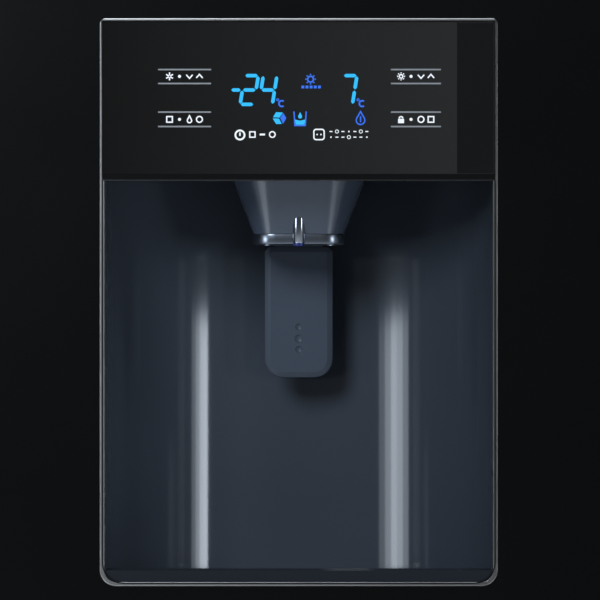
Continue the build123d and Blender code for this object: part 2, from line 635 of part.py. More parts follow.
class Door:
    """The plan places of one door, from its hinge side to its latch side."""

    def __init__(self, hinge_x, latch_x, cavity_x0, cavity_x1):
        self.toward_latch = 1 if latch_x > hinge_x else -1
        self.hinge_x = hinge_x
        self.latch_x = latch_x
        self.lip_x = latch_x - self.toward_latch * LIP_BACK
        self.groove_x = self.lip_x - self.toward_latch * GRIP_DEPTH
        self.axis_x = hinge_x + self.toward_latch * HINGE_IN
        self.cavity_x0 = cavity_x0
        self.cavity_x1 = cavity_x1

    def skin_plan(self):
        """One folded sheet: hinge side, face and lip."""
        inner_hinge = self.hinge_x + self.toward_latch * SHEET
        inner_lip = self.lip_x - self.toward_latch * SHEET
        face = outline(
            (self.hinge_x, Y_DOOR_BACK),
            (self.hinge_x, Y_DOOR),
            (self.lip_x, Y_DOOR),
            (self.lip_x, Y_LIP),
            (inner_lip, Y_LIP),
            (inner_lip, Y_DOOR + SHEET),
            (inner_hinge, Y_DOOR + SHEET),
            (inner_hinge, Y_DOOR_BACK),
        )
        face = round_corner(face, (self.hinge_x, Y_DOOR), EDGE_R)
        face = round_corner(face, (inner_hinge, Y_DOOR + SHEET), EDGE_R - SHEET)
        face = round_corner(face, (self.lip_x, Y_DOOR), LIP_R)
        return round_corner(face, (inner_lip, Y_DOOR + SHEET), LIP_R - SHEET)

    def grip_plan(self):
        """The strip that lines the finger groove and closes the latch side."""
        wall = self.toward_latch * GRIP_WALL
        inner_lip = self.lip_x - self.toward_latch * SHEET
        return outline(
            (inner_lip, Y_LIP - GRIP_WALL),
            (self.groove_x - wall, Y_LIP - GRIP_WALL),
            (self.groove_x - wall, Y_GROOVE + GRIP_WALL),
            (self.latch_x - wall, Y_GROOVE + GRIP_WALL),
            (self.latch_x - wall, Y_DOOR_BACK),
            (self.latch_x, Y_DOOR_BACK),
            (self.latch_x, Y_GROOVE),
            (self.groove_x, Y_GROOVE),
            (self.groove_x, Y_LIP),
            (inner_lip, Y_LIP),
        )

    def foam_plan(self):
        """The room inside skin, grip strip and liner."""
        wall = self.toward_latch * GRIP_WALL
        inner_hinge = self.hinge_x + self.toward_latch * SHEET
        inner_lip = self.lip_x - self.toward_latch * SHEET
        face = outline(
            (inner_hinge, Y_DOOR_BACK - LINER),
            (inner_hinge, Y_DOOR + SHEET),
            (inner_lip, Y_DOOR + SHEET),
            (inner_lip, Y_LIP - GRIP_WALL),
            (self.groove_x - wall, Y_LIP - GRIP_WALL),
            (self.groove_x - wall, Y_GROOVE + GRIP_WALL),
            (self.latch_x - wall, Y_GROOVE + GRIP_WALL),
            (self.latch_x - wall, Y_DOOR_BACK - LINER),
        )
        face = round_corner(face, (inner_hinge, Y_DOOR + SHEET), EDGE_R - SHEET)
        return round_corner(face, (inner_lip, Y_DOOR + SHEET), LIP_R - SHEET)

    def cap_plan(self):
        """The whole door seen from above."""
        face = outline(
            (self.hinge_x, Y_DOOR_BACK),
            (self.hinge_x, Y_DOOR),
            (self.lip_x, Y_DOOR),
            (self.lip_x, Y_LIP),
            (self.groove_x, Y_LIP),
            (self.groove_x, Y_GROOVE),
            (self.latch_x, Y_GROOVE),
            (self.latch_x, Y_DOOR_BACK),
        )
        face = round_corner(face, (self.hinge_x, Y_DOOR), EDGE_R)
        return round_corner(face, (self.lip_x, Y_DOOR), LIP_R)

    def ring(self, inset):
        """The liner's raised ring in X-Z, drawn in from both its sides by inset."""
        outer = rect(
            self.cavity_x0 + DIKE_CLEAR + inset,
            self.cavity_x1 - DIKE_CLEAR - inset,
            CAVITY_Z0 + DIKE_CLEAR + inset,
            CAVITY_Z1 - DIKE_CLEAR - inset,
            DIKE_R - inset,
        )
        inner = rect(
            self.cavity_x0 + DIKE_CLEAR + DIKE_W - inset,
            self.cavity_x1 - DIKE_CLEAR - DIKE_W + inset,
            CAVITY_Z0 + DIKE_CLEAR + DIKE_W - inset,
            CAVITY_Z1 - DIKE_CLEAR - DIKE_W + inset,
            DIKE_R - DIKE_W / 2 + inset,
        )
        return outer - inner

    def caps(self):
        """Both end caps, with the sockets for the hinge pins."""
        low = upright(self.cap_plan(), DOOR_BOTTOM, body_z0)
        high = upright(self.cap_plan(), body_z1, DOOR_TOP)
        socket = Pos(self.axis_x, HINGE_Y) * Circle(HINGE_PIN_R + PIN_CLEAR)
        low = low - upright(socket, DOOR_BOTTOM, DOOR_BOTTOM + HINGE_PIN_H + SEAT_CLEAR)
        high = high - upright(socket, DOOR_TOP - HINGE_PIN_H - SEAT_CLEAR, DOOR_TOP)
        return low, high

    def liner(self):
        """The formed inner skin with its raised ring."""
        x_ends = (self.hinge_x + self.toward_latch * SHEET, self.latch_x - self.toward_latch * GRIP_WALL)
        sheet = from_front(rect(min(x_ends), max(x_ends), body_z0, body_z1), Y_DOOR_BACK - LINER, Y_DOOR_BACK)
        ridge = from_front(self.ring(0), Y_DOOR_BACK - LINER, Y_DOOR_BACK + DIKE_H)
        return sheet + ridge - self.ring_fill()

    def ring_fill(self):
        """The hollow of the raised ring, which the foam fills."""
        return from_front(self.ring(LINER), Y_DOOR_BACK - LINER, Y_DOOR_BACK + DIKE_H - LINER)

    def foam(self):
        """The poured core."""
        return upright(self.foam_plan(), body_z0, body_z1) + self.ring_fill()

    def gasket(self):
        """A foot in the liner, a thin waist and a magnet head, all round."""
        def band(inset, y0, y1):
            outer = rect(
                self.cavity_x0 - GASKET_OUT - GASKET_W + inset,
                self.cavity_x1 + GASKET_OUT + GASKET_W - inset,
                CAVITY_Z0 - GASKET_OUT - GASKET_W + inset,
                CAVITY_Z1 + GASKET_OUT + GASKET_W - inset,
                GASKET_R + GASKET_W - inset,
            )
            inner = rect(
                self.cavity_x0 - GASKET_OUT - inset,
                self.cavity_x1 + GASKET_OUT + inset,
                CAVITY_Z0 - GASKET_OUT - inset,
                CAVITY_Z1 + GASKET_OUT + inset,
                GASKET_R + inset,
            )
            return from_front(outer - inner, y0, y1)

        head = Y_CASE - GASKET_CLEAR - GASKET_HEAD
        foot = band(0, Y_DOOR_BACK, Y_DOOR_BACK + GASKET_FOOT)
        waist = band(GASKET_WAIST, Y_DOOR_BACK + GASKET_FOOT, head)
        return foot + waist + band(GASKET_WAIST / 2, head, Y_CASE - GASKET_CLEAR)

    def bin(self, floor_z):
        """One open bin held between the sides of the raised ring."""
        x0 = self.cavity_x0 + DIKE_CLEAR + DIKE_W
        x1 = self.cavity_x1 - DIKE_CLEAR - DIKE_W
        y1 = Y_DOOR_BACK + BIN_D

        def plan(inset):
            face = rect(x0 + inset, x1 - inset, Y_DOOR_BACK + inset, y1 - inset)
            far = [v for v in face.vertices() if v.Y > Y_DOOR_BACK + BIN_R]
            return chamfer(far, (BIN_R - inset) * CORNER_CUT)

        tub = upright(plan(0), floor_z, floor_z + BIN_H) - upright(
            plan(BIN_WALL), floor_z + BIN_WALL, floor_z + BIN_H
        )
        dip = across(
            Pos(y1, floor_z + BIN_H) * Rectangle(2 * BIN_R, BIN_DIP * 2), x0 + BIN_R, x1 - BIN_R
        )
        return tub - dip


DAIRY_DOWN = 262.0       # floor of the dairy bin under the ceiling, so that its lid stands up freely
FREEZER_BIN_LEVELS = (460.0, 660.0, 1320.0)
FRIDGE_BIN_LEVELS = (600.0, 850.0, 1100.0)
FREEZER_BINS = [level(height) for height in FREEZER_BIN_LEVELS]
FRIDGE_BINS = [level(height) for height in FRIDGE_BIN_LEVELS] + [CAVITY_Z1 - DAIRY_DOWN]
freezer_door = Door(X_LEFT, FREEZER_LATCH, FREEZER_X0, FREEZER_X1)
fridge_door = Door(X_RIGHT, FRIDGE_LATCH, FRIDGE_X0, FRIDGE_X1)

# Freezer door: cut for the dispenser, its liner swelling inwards round the niche and the ice way
bulge_plan = niche_plan(HOUSING_WALL + BULGE, 0)
bulge_hollow = niche_plan(HOUSING_WALL + BULGE - LINER, 0)
bulge_z0 = FLOOR_Z - HOUSING_WALL - BULGE
bulge_z1 = duct_top + BULGE
behind_door = from_front(rect(X_LEFT, X_RIGHT, 0, HEIGHT), Y_DOOR_BACK - LINER, Y_CASE + NICHE_DEPTH)
bulge = upright(bulge_plan, bulge_z0, bulge_z1) & behind_door
bulge_fill = upright(bulge_hollow, bulge_z0 + LINER, bulge_z1 - LINER) & behind_door
freezer_door_liner = (freezer_door.liner() + bulge) - bulge_fill - spout(0)
plate_room = block(FRAME_X0, FRAME_X1, Y_FRONT, Y_NICHE + HOUSING_WALL, FRAME_Z0, FRAME_Z1)
duct_room = block(
    DISP_X - DUCT_W / 2, DISP_X + DUCT_W / 2, duct_y - DUCT_D / 2, duct_y + DUCT_D / 2, ROOF_Z, duct_top
)
freezer_door_foam = (freezer_door.foam() + bulge_fill) - niche_outside - plate_room - duct_room - spout(0)
freezer_door_foam = freezer_door_foam - freezer_door_liner
freezer_door_skin = upright(freezer_door.skin_plan(), body_z0, body_z1) - from_front(
    frame_outline(0), Y_FRONT, Y_NICHE
)
freezer_door_gasket = freezer_door.gasket()
freezer_door_bins = [freezer_door.bin(z) for z in FREEZER_BINS]
freezer_door_trims = [*freezer_door.caps(), upright(freezer_door.grip_plan(), body_z0, body_z1)]

# Fridge door: the same build, without a dispenser
fridge_door_skin = upright(fridge_door.skin_plan(), body_z0, body_z1)
fridge_door_foam = fridge_door.foam()
fridge_door_liner = fridge_door.liner()
fridge_door_gasket = fridge_door.gasket()
fridge_door_bins = [fridge_door.bin(z) for z in FRIDGE_BINS]
fridge_door_trims = [*fridge_door.caps(), upright(fridge_door.grip_plan(), body_z0, body_z1)]

# Dairy lid: a clear lid over the top bin of the fridge door, hinged on pins at its back edge
LID_T = 3.0
LID_GAP = 4.0            # lid's front edge above the bin's rim
LID_R = 3.0
LID_UP = 34.0            # lid above the bin's rim
LID_PIN_R = 2.5
LID_PIN_BACK = 8.0       # lid's pins behind the door's back
lid_z = FRIDGE_BINS[-1] + BIN_H + LID_UP
lid_y = Y_DOOR_BACK + LID_PIN_BACK
lid_x0 = FRIDGE_X0 + DIKE_CLEAR + DIKE_W + SEAT_CLEAR
lid_x1 = FRIDGE_X1 - DIKE_CLEAR - DIKE_W - SEAT_CLEAR
lid_front = Y_DOOR_BACK + BIN_D
lid_profile = outline(
    (lid_y, lid_z - LID_T / 2),
    (lid_front - LID_T, lid_z - LID_T / 2),
    (lid_front - LID_T, lid_z - LID_UP + LID_GAP),
    (lid_front, lid_z - LID_UP + LID_GAP),
    (lid_front, lid_z + LID_T / 2),
    (lid_y, lid_z + LID_T / 2),
)
lid_profile = round_corner(lid_profile, (lid_front, lid_z + LID_T / 2), LID_R)
lid_pin_out = LINER - 2 * SEAT_CLEAR
dairy_lid = across(lid_profile, lid_x0, lid_x1) + rod(
    (lid_x0 - lid_pin_out, lid_y, lid_z), (lid_x1 + lid_pin_out, lid_y, lid_z), LID_PIN_R
)
lid_socket = rod(
    (lid_x0 - lid_pin_out - SEAT_CLEAR, lid_y, lid_z),
    (lid_x1 + lid_pin_out + SEAT_CLEAR, lid_y, lid_z),
    LID_PIN_R + PIN_CLEAR,
)
fridge_door_liner = fridge_door_liner - lid_socket

# Shelves: glass panes with moulded edges, on ledges formed in the liners' side walls
SHELF_FRONT = 129.0      # shelf front behind the cabinet front
SHELF_GLASS = 4.0
SHELF_SIDE = 2.0         # pane to the liner wall
EDGE_W = 16.0            # moulded edge strips
EDGE_H = 14.0
LEDGE_W = 9.0
LEDGE_H = 12.0
COVER_FRONT = 88.0       # evaporator cover's face in front of the freezer's back wall
SHELF_BACK = 6.0         # shelf to what stands behind it
ICE_SHELF_DOWN = 55.5    # ice bucket's shelf under the floor of the spout
FREEZER_SHELF_LEVELS = (520.0, 720.0, 920.0)
FRIDGE_SHELF_LEVELS = (540.0, 780.0, 1020.0, 1270.0)
FREEZER_SHELVES = [level(height) for height in FREEZER_SHELF_LEVELS] + [spout_z0 - ICE_SHELF_DOWN]
FRIDGE_SHELVES = [level(height) for height in FRIDGE_SHELF_LEVELS]
shelf_y0 = Y_CASE + SHELF_FRONT
freezer_shelf_y1 = CAVITY_BACK - COVER_FRONT - SHELF_BACK
AIR_DUCT_D = 38.0
fridge_shelf_y1 = CAVITY_BACK - AIR_DUCT_D - SHELF_BACK
glass_shelves = []
shelf_edges = []


def ledge(wall_x, inward, top_z, y0, y1):
    """A formed rib on a side wall: flat above, sloped below."""
    face = outline(
        (wall_x, top_z), (wall_x + inward * LEDGE_W, top_z), (wall_x, top_z - LEDGE_H)
    )
    return from_front(face, y0, y1)


def shelf(x0, x1, y1, z):
    """One pane and its two edge strips, with the pane let into both."""
    pane = block(x0 + SHELF_SIDE, x1 - SHELF_SIDE, shelf_y0 + GRIP_WALL, y1 - GRIP_WALL, z, z + SHELF_GLASS)
    strip_x0 = x0 + LEDGE_W + SHELF_SIDE
    strip_x1 = x1 - LEDGE_W - SHELF_SIDE
    front = rect(shelf_y0, shelf_y0 + EDGE_W, z - EDGE_H / 2, z + EDGE_H / 2)
    back = rect(y1 - EDGE_W, y1, z - EDGE_H / 2, z + EDGE_H / 2)
    strips = [across(face, strip_x0, strip_x1) - pane for face in (front, back)]
    return pane, strips


for z in FREEZER_SHELVES:
    freezer_liner = freezer_liner + ledge(FREEZER_X0, 1, z, shelf_y0, freezer_shelf_y1)
    freezer_liner = freezer_liner + ledge(FREEZER_X1, -1, z, shelf_y0, freezer_shelf_y1)
    pane, strips = shelf(FREEZER_X0, FREEZER_X1, freezer_shelf_y1, z)
    glass_shelves.append(pane)
    shelf_edges.extend(strips)
for z in FRIDGE_SHELVES:
    fridge_liner = fridge_liner + ledge(FRIDGE_X0, 1, z, shelf_y0, fridge_shelf_y1)
    fridge_liner = fridge_liner + ledge(FRIDGE_X1, -1, z, shelf_y0, fridge_shelf_y1)
    pane, strips = shelf(FRIDGE_X0, FRIDGE_X1, fridge_shelf_y1, z)
    glass_shelves.append(pane)
    shelf_edges.extend(strips)

# Drawers: open boxes hung by their rims on ledges, with a deeper front and a finger pull
DRAWER_FRONT = 104.0     # drawer front behind the cabinet front
DRAWER_WALL = 2.5
DRAWER_SIDE = 14.0       # box to the liner wall
DRAWER_R = 9.0
RIM_T = 4.0
PULL_H = 16.0
PULL_OUT = 9.0
PULL_W = 130.0
HUMP_CLEAR = 14.0        # drawer back to the hump
CRISPER_OVER = 84.0      # upper crisper's back past the hump's foot
drawer_y0 = Y_CASE + DRAWER_FRONT


def drawer(x0, x1, z0, z1, y1):
    """One drawer between liner walls x0 and x1, floor z0, rim z1 and back y1."""
    plan = rect(x0 + DRAWER_SIDE, x1 - DRAWER_SIDE, drawer_y0, y1, DRAWER_R)
    bore = rect(
        x0 + DRAWER_SIDE + DRAWER_WALL,
        x1 - DRAWER_SIDE - DRAWER_WALL,
        drawer_y0 + DRAWER_WALL,
        y1 - DRAWER_WALL,
        DRAWER_R - DRAWER_WALL,
    )
    rim = rect(x0 + SHELF_SIDE, x1 - SHELF_SIDE, drawer_y0, y1, DRAWER_R)
    tub = upright(plan, z0, z1) + upright(rim, z1 - RIM_T, z1) - upright(bore, z0 + DRAWER_WALL, z1)
    pull = outline(
        (drawer_y0 + DRAWER_WALL, z1),
        (drawer_y0 - PULL_OUT, z1),
        (drawer_y0 - PULL_OUT, z1 - PULL_H),
        (drawer_y0 - PULL_OUT + DRAWER_WALL, z1 - PULL_H),
        (drawer_y0 - PULL_OUT + DRAWER_WALL, z1 - RIM_T),
        (drawer_y0 + DRAWER_WALL, z1 - RIM_T),
    )
    middle = (x0 + x1) / 2
    return tub + across(pull, middle - PULL_W / 2, middle + PULL_W / 2)


def drawer_ledges(x0, x1, z1, y1):
    """The pair of ledges that carry a drawer's rim."""
    top = z1 - RIM_T - SLIDE_CLEAR
    return ledge(x0, 1, top, shelf_y0 - EDGE_W, y1) + ledge(x1, -1, top, shelf_y0 - EDGE_W, y1)


LOW_DRAWER = (112.0, 300.0)
FREEZER_HIGH_DRAWER = (330.0, 520.0)
CRISPER_LOW = (112.0, 330.0)
CRISPER_HIGH = (380.0, 590.0)
low_back = HUMP_Y - HUMP_CLEAR
freezer_high_back = HUMP_Y
crisper_high_back = HUMP_Y + CRISPER_OVER
freezer_drawer_lower = drawer(FREEZER_X0, FREEZER_X1, *LOW_DRAWER, low_back)
freezer_drawer_upper = drawer(FREEZER_X0, FREEZER_X1, *FREEZER_HIGH_DRAWER, freezer_high_back)
crisper_lower = drawer(FRIDGE_X0, FRIDGE_X1, *CRISPER_LOW, low_back)
crisper_upper = drawer(FRIDGE_X0, FRIDGE_X1, *CRISPER_HIGH, crisper_high_back)
freezer_liner = freezer_liner + drawer_ledges(FREEZER_X0, FREEZER_X1, LOW_DRAWER[1], low_back)
high_ledges = drawer_ledges(FREEZER_X0, FREEZER_X1, FREEZER_HIGH_DRAWER[1], freezer_high_back)
freezer_liner = freezer_liner + high_ledges
fridge_liner = fridge_liner + drawer_ledges(FRIDGE_X0, FRIDGE_X1, CRISPER_LOW[1], low_back)
fridge_liner = fridge_liner + drawer_ledges(FRIDGE_X0, FRIDGE_X1, CRISPER_HIGH[1], crisper_high_back)

# Air fans: a moulded rotor on a short shaft, and a motor held behind the opening on three arms
FAN_BLADES = 5
HUB_SIDES = 10           # flats of the hub, two to a blade
OPEN_SIDES = 24          # flats of the opening in front of a fan
FAN_BLADE_T = 1.8
FAN_PITCH = 28.0         # degrees between a blade's chord and the disc
FAN_DEPTH = 16.0
FAN_SHAFT_R = 3.0
FAN_SHAFT_IN = 12.0
MOTOR_W = 36.0           # square motor
MOTOR_LEN = 26.0
MOTOR_GAP = 4.0          # rotor to its motor
FAN_ARMS = 3
ARM_W = 7.0
ARM_T = 3.0


def fan_rotor(tip_r, hub_r):
    """A rotor about +Z, hub from 0 to FAN_DEPTH, with its shaft running on above."""
    rotor = extrude(RegularPolygon(hub_r, HUB_SIDES), FAN_DEPTH)
    chord = FAN_DEPTH / math.sin(math.radians(FAN_PITCH)) - 2 * FAN_BLADE_T
    for turn in range(FAN_BLADES):
        blade = Rot(FAN_PITCH, 0, 0) * Box(tip_r - hub_r / 2, chord, FAN_BLADE_T)
        blade = Pos((tip_r + hub_r / 2) / 2, 0, FAN_DEPTH / 2) * blade
        rotor = rotor + Rot(0, 0, 360 / FAN_BLADES * turn) * blade
    shaft = Pos(0, 0, FAN_DEPTH + (MOTOR_GAP + FAN_SHAFT_IN) / 2) * Cylinder(
        FAN_SHAFT_R, MOTOR_GAP + FAN_SHAFT_IN
    )
    return rotor + shaft


def fan_mount(opening_r, front_gap):
    """The motor and its arms about +Z, standing on a plate at -front_gap."""
    motor_z = FAN_DEPTH + MOTOR_GAP
    can = Pos(0, 0, motor_z + MOTOR_LEN / 2) * Box(MOTOR_W, MOTOR_W, MOTOR_LEN)
    can = can - Pos(0, 0, motor_z + (FAN_SHAFT_IN + MOTOR_GAP) / 2) * Cylinder(
        FAN_SHAFT_R + PIN_CLEAR, FAN_SHAFT_IN + MOTOR_GAP
    )
    post_r = opening_r + ARM_W
    for turn in range(FAN_ARMS):
        arm = Pos(post_r / 2 + MOTOR_W / 8, 0, motor_z + ARM_T / 2) * Box(post_r - MOTOR_W / 4, ARM_W, ARM_T)
        post_len = motor_z + front_gap
        post = Pos(post_r, 0, motor_z + ARM_T - (post_len + ARM_T) / 2) * Box(ARM_W, ARM_W, post_len + ARM_T)
        can = can + Rot(0, 0, 360 / FAN_ARMS * turn) * (arm + post)
    return can


# Evaporator, its cover and its fan, on the freezer's back wall
COVER_WALL = 2.5
COVER_SIDE = 16.0        # cover to the freezer's side walls
COVER_UP = 22.0          # cover above the hump
COVER_DOWN = 20.0        # cover under the ice bucket's shelf
FAN_OPEN_R = 52.0
EVAP_FAN_R = 48.0
EVAP_HUB_R = 15.0
EVAP_FAN_LEVEL = 860.0
FAN_SET = 4.0            # rotor behind the face of its opening
INTAKE_W = 180.0
INTAKE_H = 5.0
INTAKE_PITCH = 14.0
INTAKE_ROWS = 4
COVER_Z0 = HUMP_Z + COVER_UP
COVER_Z1 = FREEZER_SHELVES[-1] - COVER_DOWN
EVAP_FAN_Z = level(EVAP_FAN_LEVEL)
freezer_mid = (FREEZER_X0 + FREEZER_X1) / 2
cover_y = CAVITY_BACK - COVER_FRONT
cover_x0 = FREEZER_X0 + COVER_SIDE
cover_x1 = FREEZER_X1 - COVER_SIDE
evaporator_cover = block(cover_x0, cover_x1, cover_y, CAVITY_BACK, COVER_Z0, COVER_Z1) - block(
    cover_x0 + COVER_WALL,
    cover_x1 - COVER_WALL,
    cover_y + COVER_WALL,
    CAVITY_BACK,
    COVER_Z0 + COVER_WALL,
    COVER_Z1 - COVER_WALL,
)
cover_holes = Sketch() + Pos(freezer_mid, EVAP_FAN_Z) * RegularPolygon(FAN_OPEN_R, OPEN_SIDES)
for row in range(INTAKE_ROWS):
    intake_z = COVER_Z0 + INTAKE_W / 2 + row * INTAKE_PITCH
    cover_holes = cover_holes + Pos(freezer_mid, intake_z) * Rectangle(INTAKE_W, INTAKE_H)
evaporator_cover = evaporator_cover - from_front(cover_holes, cover_y, cover_y + COVER_WALL)
fan_y = cover_y + COVER_WALL + FAN_SET
to_back = Plane(origin=(freezer_mid, fan_y, EVAP_FAN_Z), x_dir=(1, 0, 0), z_dir=(0, 1, 0))
evaporator_fan = to_back.location * fan_rotor(EVAP_FAN_R, EVAP_HUB_R)
evaporator_cover = evaporator_cover + to_back.location * fan_mount(FAN_OPEN_R, FAN_SET)
FIN_D = 48.0
TUBE_R = 4.5
TUBE_SIDES = 6
EVAP_H = 300.0
EVAP_UP = 138.0          # coil above the foot of its cover
TUBE_ROWS = 4
EVAP_Z0 = COVER_Z0 + EVAP_UP
TURN_OUT = 16.0          # tube's turns out of the fins
COIL_CLEAR = 6.0         # turns to the cover's walls
fin_span = cover_x1 - cover_x0 - 2 * (COVER_WALL + TURN_OUT + TUBE_R + COIL_CLEAR)


def finned_coil(x0, span, y0, depth, z0, height, rows, turn_out):
    """A close pack of fins as one block, with the tube's turns standing out of both ends."""
    pitch = height / rows
    tube_y = y0 + depth / 2
    coil = block(x0, x0 + span, y0, y0 + depth, z0, z0 + height)
    for row in range(rows - 1):
        low = z0 + pitch * (row + 0.5)
        end, out = (x0 + span, turn_out) if row % 2 == 0 else (x0, -turn_out)
        path = Polyline(
            (end, tube_y, low),
            (end + out, tube_y, low),
            (end + out, tube_y, low + pitch),
            (end, tube_y, low + pitch),
        )
        section = Plane(origin=(end, tube_y, low), z_dir=(out, 0, 0)) * RegularPolygon(TUBE_R, TUBE_SIDES)
        coil = coil + sweep(section, path, transition=Transition.RIGHT)
    return coil


evaporator = finned_coil(
    freezer_mid - fin_span / 2, fin_span, CAVITY_BACK - FIN_D, FIN_D, EVAP_Z0, EVAP_H, TUBE_ROWS, TURN_OUT
)

# Ice maker, bucket, auger and auger drive in the freezer's upper half
BUCKET_SIDE = 14.0       # bucket to the freezer's side walls
BUCKET_H = 170.0
BUCKET_WALL = 2.5
BUCKET_R = 18.0
BUCKET_FRONT = 74.0      # bucket front behind the cabinet front
OUTLET_OUT = 9.0         # bucket spout short of the door's ice way
DRIVE_D = 100.0
DRIVE_H = 150.0
AUGER_R = 24.0
AUGER_SHAFT_R = 5.0
AUGER_BLADES = 8
AUGER_BLADE_W = 12.0
AUGER_TURN = 50.0        # degrees from one auger blade to the next
DRIVE_IN = 20.0          # auger shaft into its drive
SLOT_HALF = 8.0          # open slot in the bucket's back, through which the shaft lifts out
bucket_z0 = FREEZER_SHELVES[-1] + EDGE_H / 2
bucket_x0 = FREEZER_X0 + BUCKET_SIDE
bucket_x1 = FREEZER_X1 - BUCKET_SIDE
bucket_y0 = Y_CASE + BUCKET_FRONT
drive_y0 = CAVITY_BACK - DRIVE_D
bucket_y1 = drive_y0 - SHELF_BACK
outlet_z = (spout_z0 + spout_z1) / 2
outlet_half = SPOUT_W / 2 - DUCT_WALL


def bucket_plan(inset):
    """The bucket seen from above."""
    return rect(bucket_x0 + inset, bucket_x1 - inset, bucket_y0 + inset, bucket_y1 - inset, BUCKET_R - inset)


outlet = from_front(
    rect(
        DISP_X - outlet_half,
        DISP_X + outlet_half,
        outlet_z - SPOUT_H / 2 + DUCT_WALL,
        outlet_z + SPOUT_H / 2 - DUCT_WALL,
    ),
    bulge_back + OUTLET_OUT,
    bucket_y0 + BUCKET_WALL,
)
outlet_way = from_front(
    rect(
        DISP_X - outlet_half + BUCKET_WALL,
        DISP_X + outlet_half - BUCKET_WALL,
        outlet_z - SPOUT_H / 2 + DUCT_WALL + BUCKET_WALL,
        outlet_z + SPOUT_H / 2 - DUCT_WALL - BUCKET_WALL,
    ),
    bulge_back + OUTLET_OUT,
    bucket_y0 + BUCKET_WALL,
)
ice_bucket = upright(bucket_plan(0), bucket_z0, bucket_z0 + BUCKET_H) - upright(
    bucket_plan(BUCKET_WALL), bucket_z0 + BUCKET_WALL, bucket_z0 + BUCKET_H
)
auger_z = bucket_z0 + BUCKET_WALL + AUGER_R + 2 * SEAT_CLEAR + BUCKET_WALL
shaft_slot = rect(DISP_X - SLOT_HALF, DISP_X + SLOT_HALF, auger_z - SLOT_HALF, bucket_z0 + BUCKET_H)
shaft_slot = from_front(shaft_slot, bucket_y1 - BUCKET_WALL, bucket_y1)
ice_bucket = ice_bucket + outlet - outlet_way - shaft_slot
auger_y0 = bucket_y0 + 2 * BUCKET_R
auger_y1 = bucket_y1 - BUCKET_R
auger_step = (auger_y1 - auger_y0) / AUGER_BLADES
ice_auger = rod((DISP_X, auger_y1, auger_z), (DISP_X, drive_y0 + DRIVE_IN, auger_z), AUGER_SHAFT_R)
for index in range(AUGER_BLADES):
    blade = Pos(DISP_X, auger_y0 + auger_step * (index + 0.5), auger_z) * Rot(0, AUGER_TURN * index, 0) * Box(
        2 * AUGER_R, auger_step, AUGER_BLADE_W
    )
    ice_auger = ice_auger + blade
drive_back = rect(bucket_x0, bucket_x1, bucket_z0, bucket_z0 + DRIVE_H, BUCKET_R)
drive_face = drive_back - Pos(DISP_X, auger_z) * Circle(AUGER_SHAFT_R + PIN_CLEAR)
socket_y = drive_y0 + DRIVE_IN + SEAT_CLEAR
auger_drive = from_front(drive_face, drive_y0, socket_y) + from_front(drive_back, socket_y, CAVITY_BACK)
MAKER_DOWN = 142.0       # middle of the ice maker's trough under the ceiling
MAKER_R = 42.0
MAKER_LEN = 230.0
MAKER_HEAD = 46.0
MAKER_WALL = 5.0
MAKER_CUBES = 7
MAKER_WIDE = 120.0
MAKER_SIDES = 8          # flats of the trough, were it a whole tube
MAKER_BACK = 148.0       # ice maker behind the bucket's front
MAKER_Z = CAVITY_Z1 - MAKER_DOWN
maker_x = FREEZER_X0 + MAKER_WIDE / 2
maker_y0 = bucket_y0 + MAKER_BACK
maker_half = rect(-MAKER_R, MAKER_R, -MAKER_R, 0)
trough = Pos(maker_x, MAKER_Z) * (RegularPolygon(MAKER_R, MAKER_SIDES) & maker_half)
ice_maker = from_front(trough, maker_y0, maker_y0 + MAKER_LEN)
cube_step = (MAKER_LEN - MAKER_WALL) / MAKER_CUBES
cube = Pos(maker_x, MAKER_Z) * (RegularPolygon(MAKER_R - MAKER_WALL, MAKER_SIDES) & maker_half)
for index in range(MAKER_CUBES):
    cube_y = maker_y0 + MAKER_WALL + cube_step * index
    ice_maker = ice_maker - from_front(cube, cube_y, cube_y + cube_step - MAKER_WALL)
head_face = rect(FREEZER_X0, FREEZER_X0 + MAKER_WIDE, MAKER_Z - MAKER_R, MAKER_Z + MAKER_R, MAKER_WALL)
ice_maker = ice_maker + from_front(head_face, maker_y0 - MAKER_HEAD, maker_y0)

# Air duct: a moulded tower on the fridge's back wall with outlet slots
AIR_DUCT_W = 96.0
AIR_DUCT_UP = 20.0       # tower above the lowest shelf
AIR_DUCT_DOWN = 62.0     # tower under the ceiling
AIR_DUCT_Z0 = FRIDGE_SHELVES[0] + AIR_DUCT_UP
AIR_DUCT_Z1 = CAVITY_Z1 - AIR_DUCT_DOWN
AIR_DUCT_R = 10.0
AIR_SLOT_W = 60.0
AIR_SLOT_H = 10.0
AIR_SLOTS = 5
fridge_mid = (FRIDGE_X0 + FRIDGE_X1) / 2
tower = upright(
    rect(
        fridge_mid - AIR_DUCT_W / 2, fridge_mid + AIR_DUCT_W / 2, CAVITY_BACK - AIR_DUCT_D, CAVITY_BACK
    ),
    AIR_DUCT_Z0,
    AIR_DUCT_Z1,
)
tower_edges = [
    edge
    for edge in tower.edges().filter_by(Axis.Z)
    if edge.center().Y < CAVITY_BACK - AIR_DUCT_D / 2
]
air_duct = chamfer(tower_edges, AIR_DUCT_R * CORNER_CUT)
air_duct = air_duct - block(
    fridge_mid - AIR_DUCT_W / 2 + COVER_WALL,
    fridge_mid + AIR_DUCT_W / 2 - COVER_WALL,
    CAVITY_BACK - AIR_DUCT_D + AIR_DUCT_R,
    CAVITY_BACK,
    AIR_DUCT_Z0 + COVER_WALL,
    AIR_DUCT_Z1 - COVER_WALL,
)
slot_step = (AIR_DUCT_Z1 - AIR_DUCT_Z0) / AIR_SLOTS
for index in range(AIR_SLOTS):
    slot_z = AIR_DUCT_Z0 + slot_step * (index + 0.5)
    air_slot = Pos(fridge_mid, slot_z) * Rectangle(AIR_SLOT_W, AIR_SLOT_H)
    air_duct = air_duct - from_front(air_slot, CAVITY_BACK - AIR_DUCT_D, CAVITY_BACK)

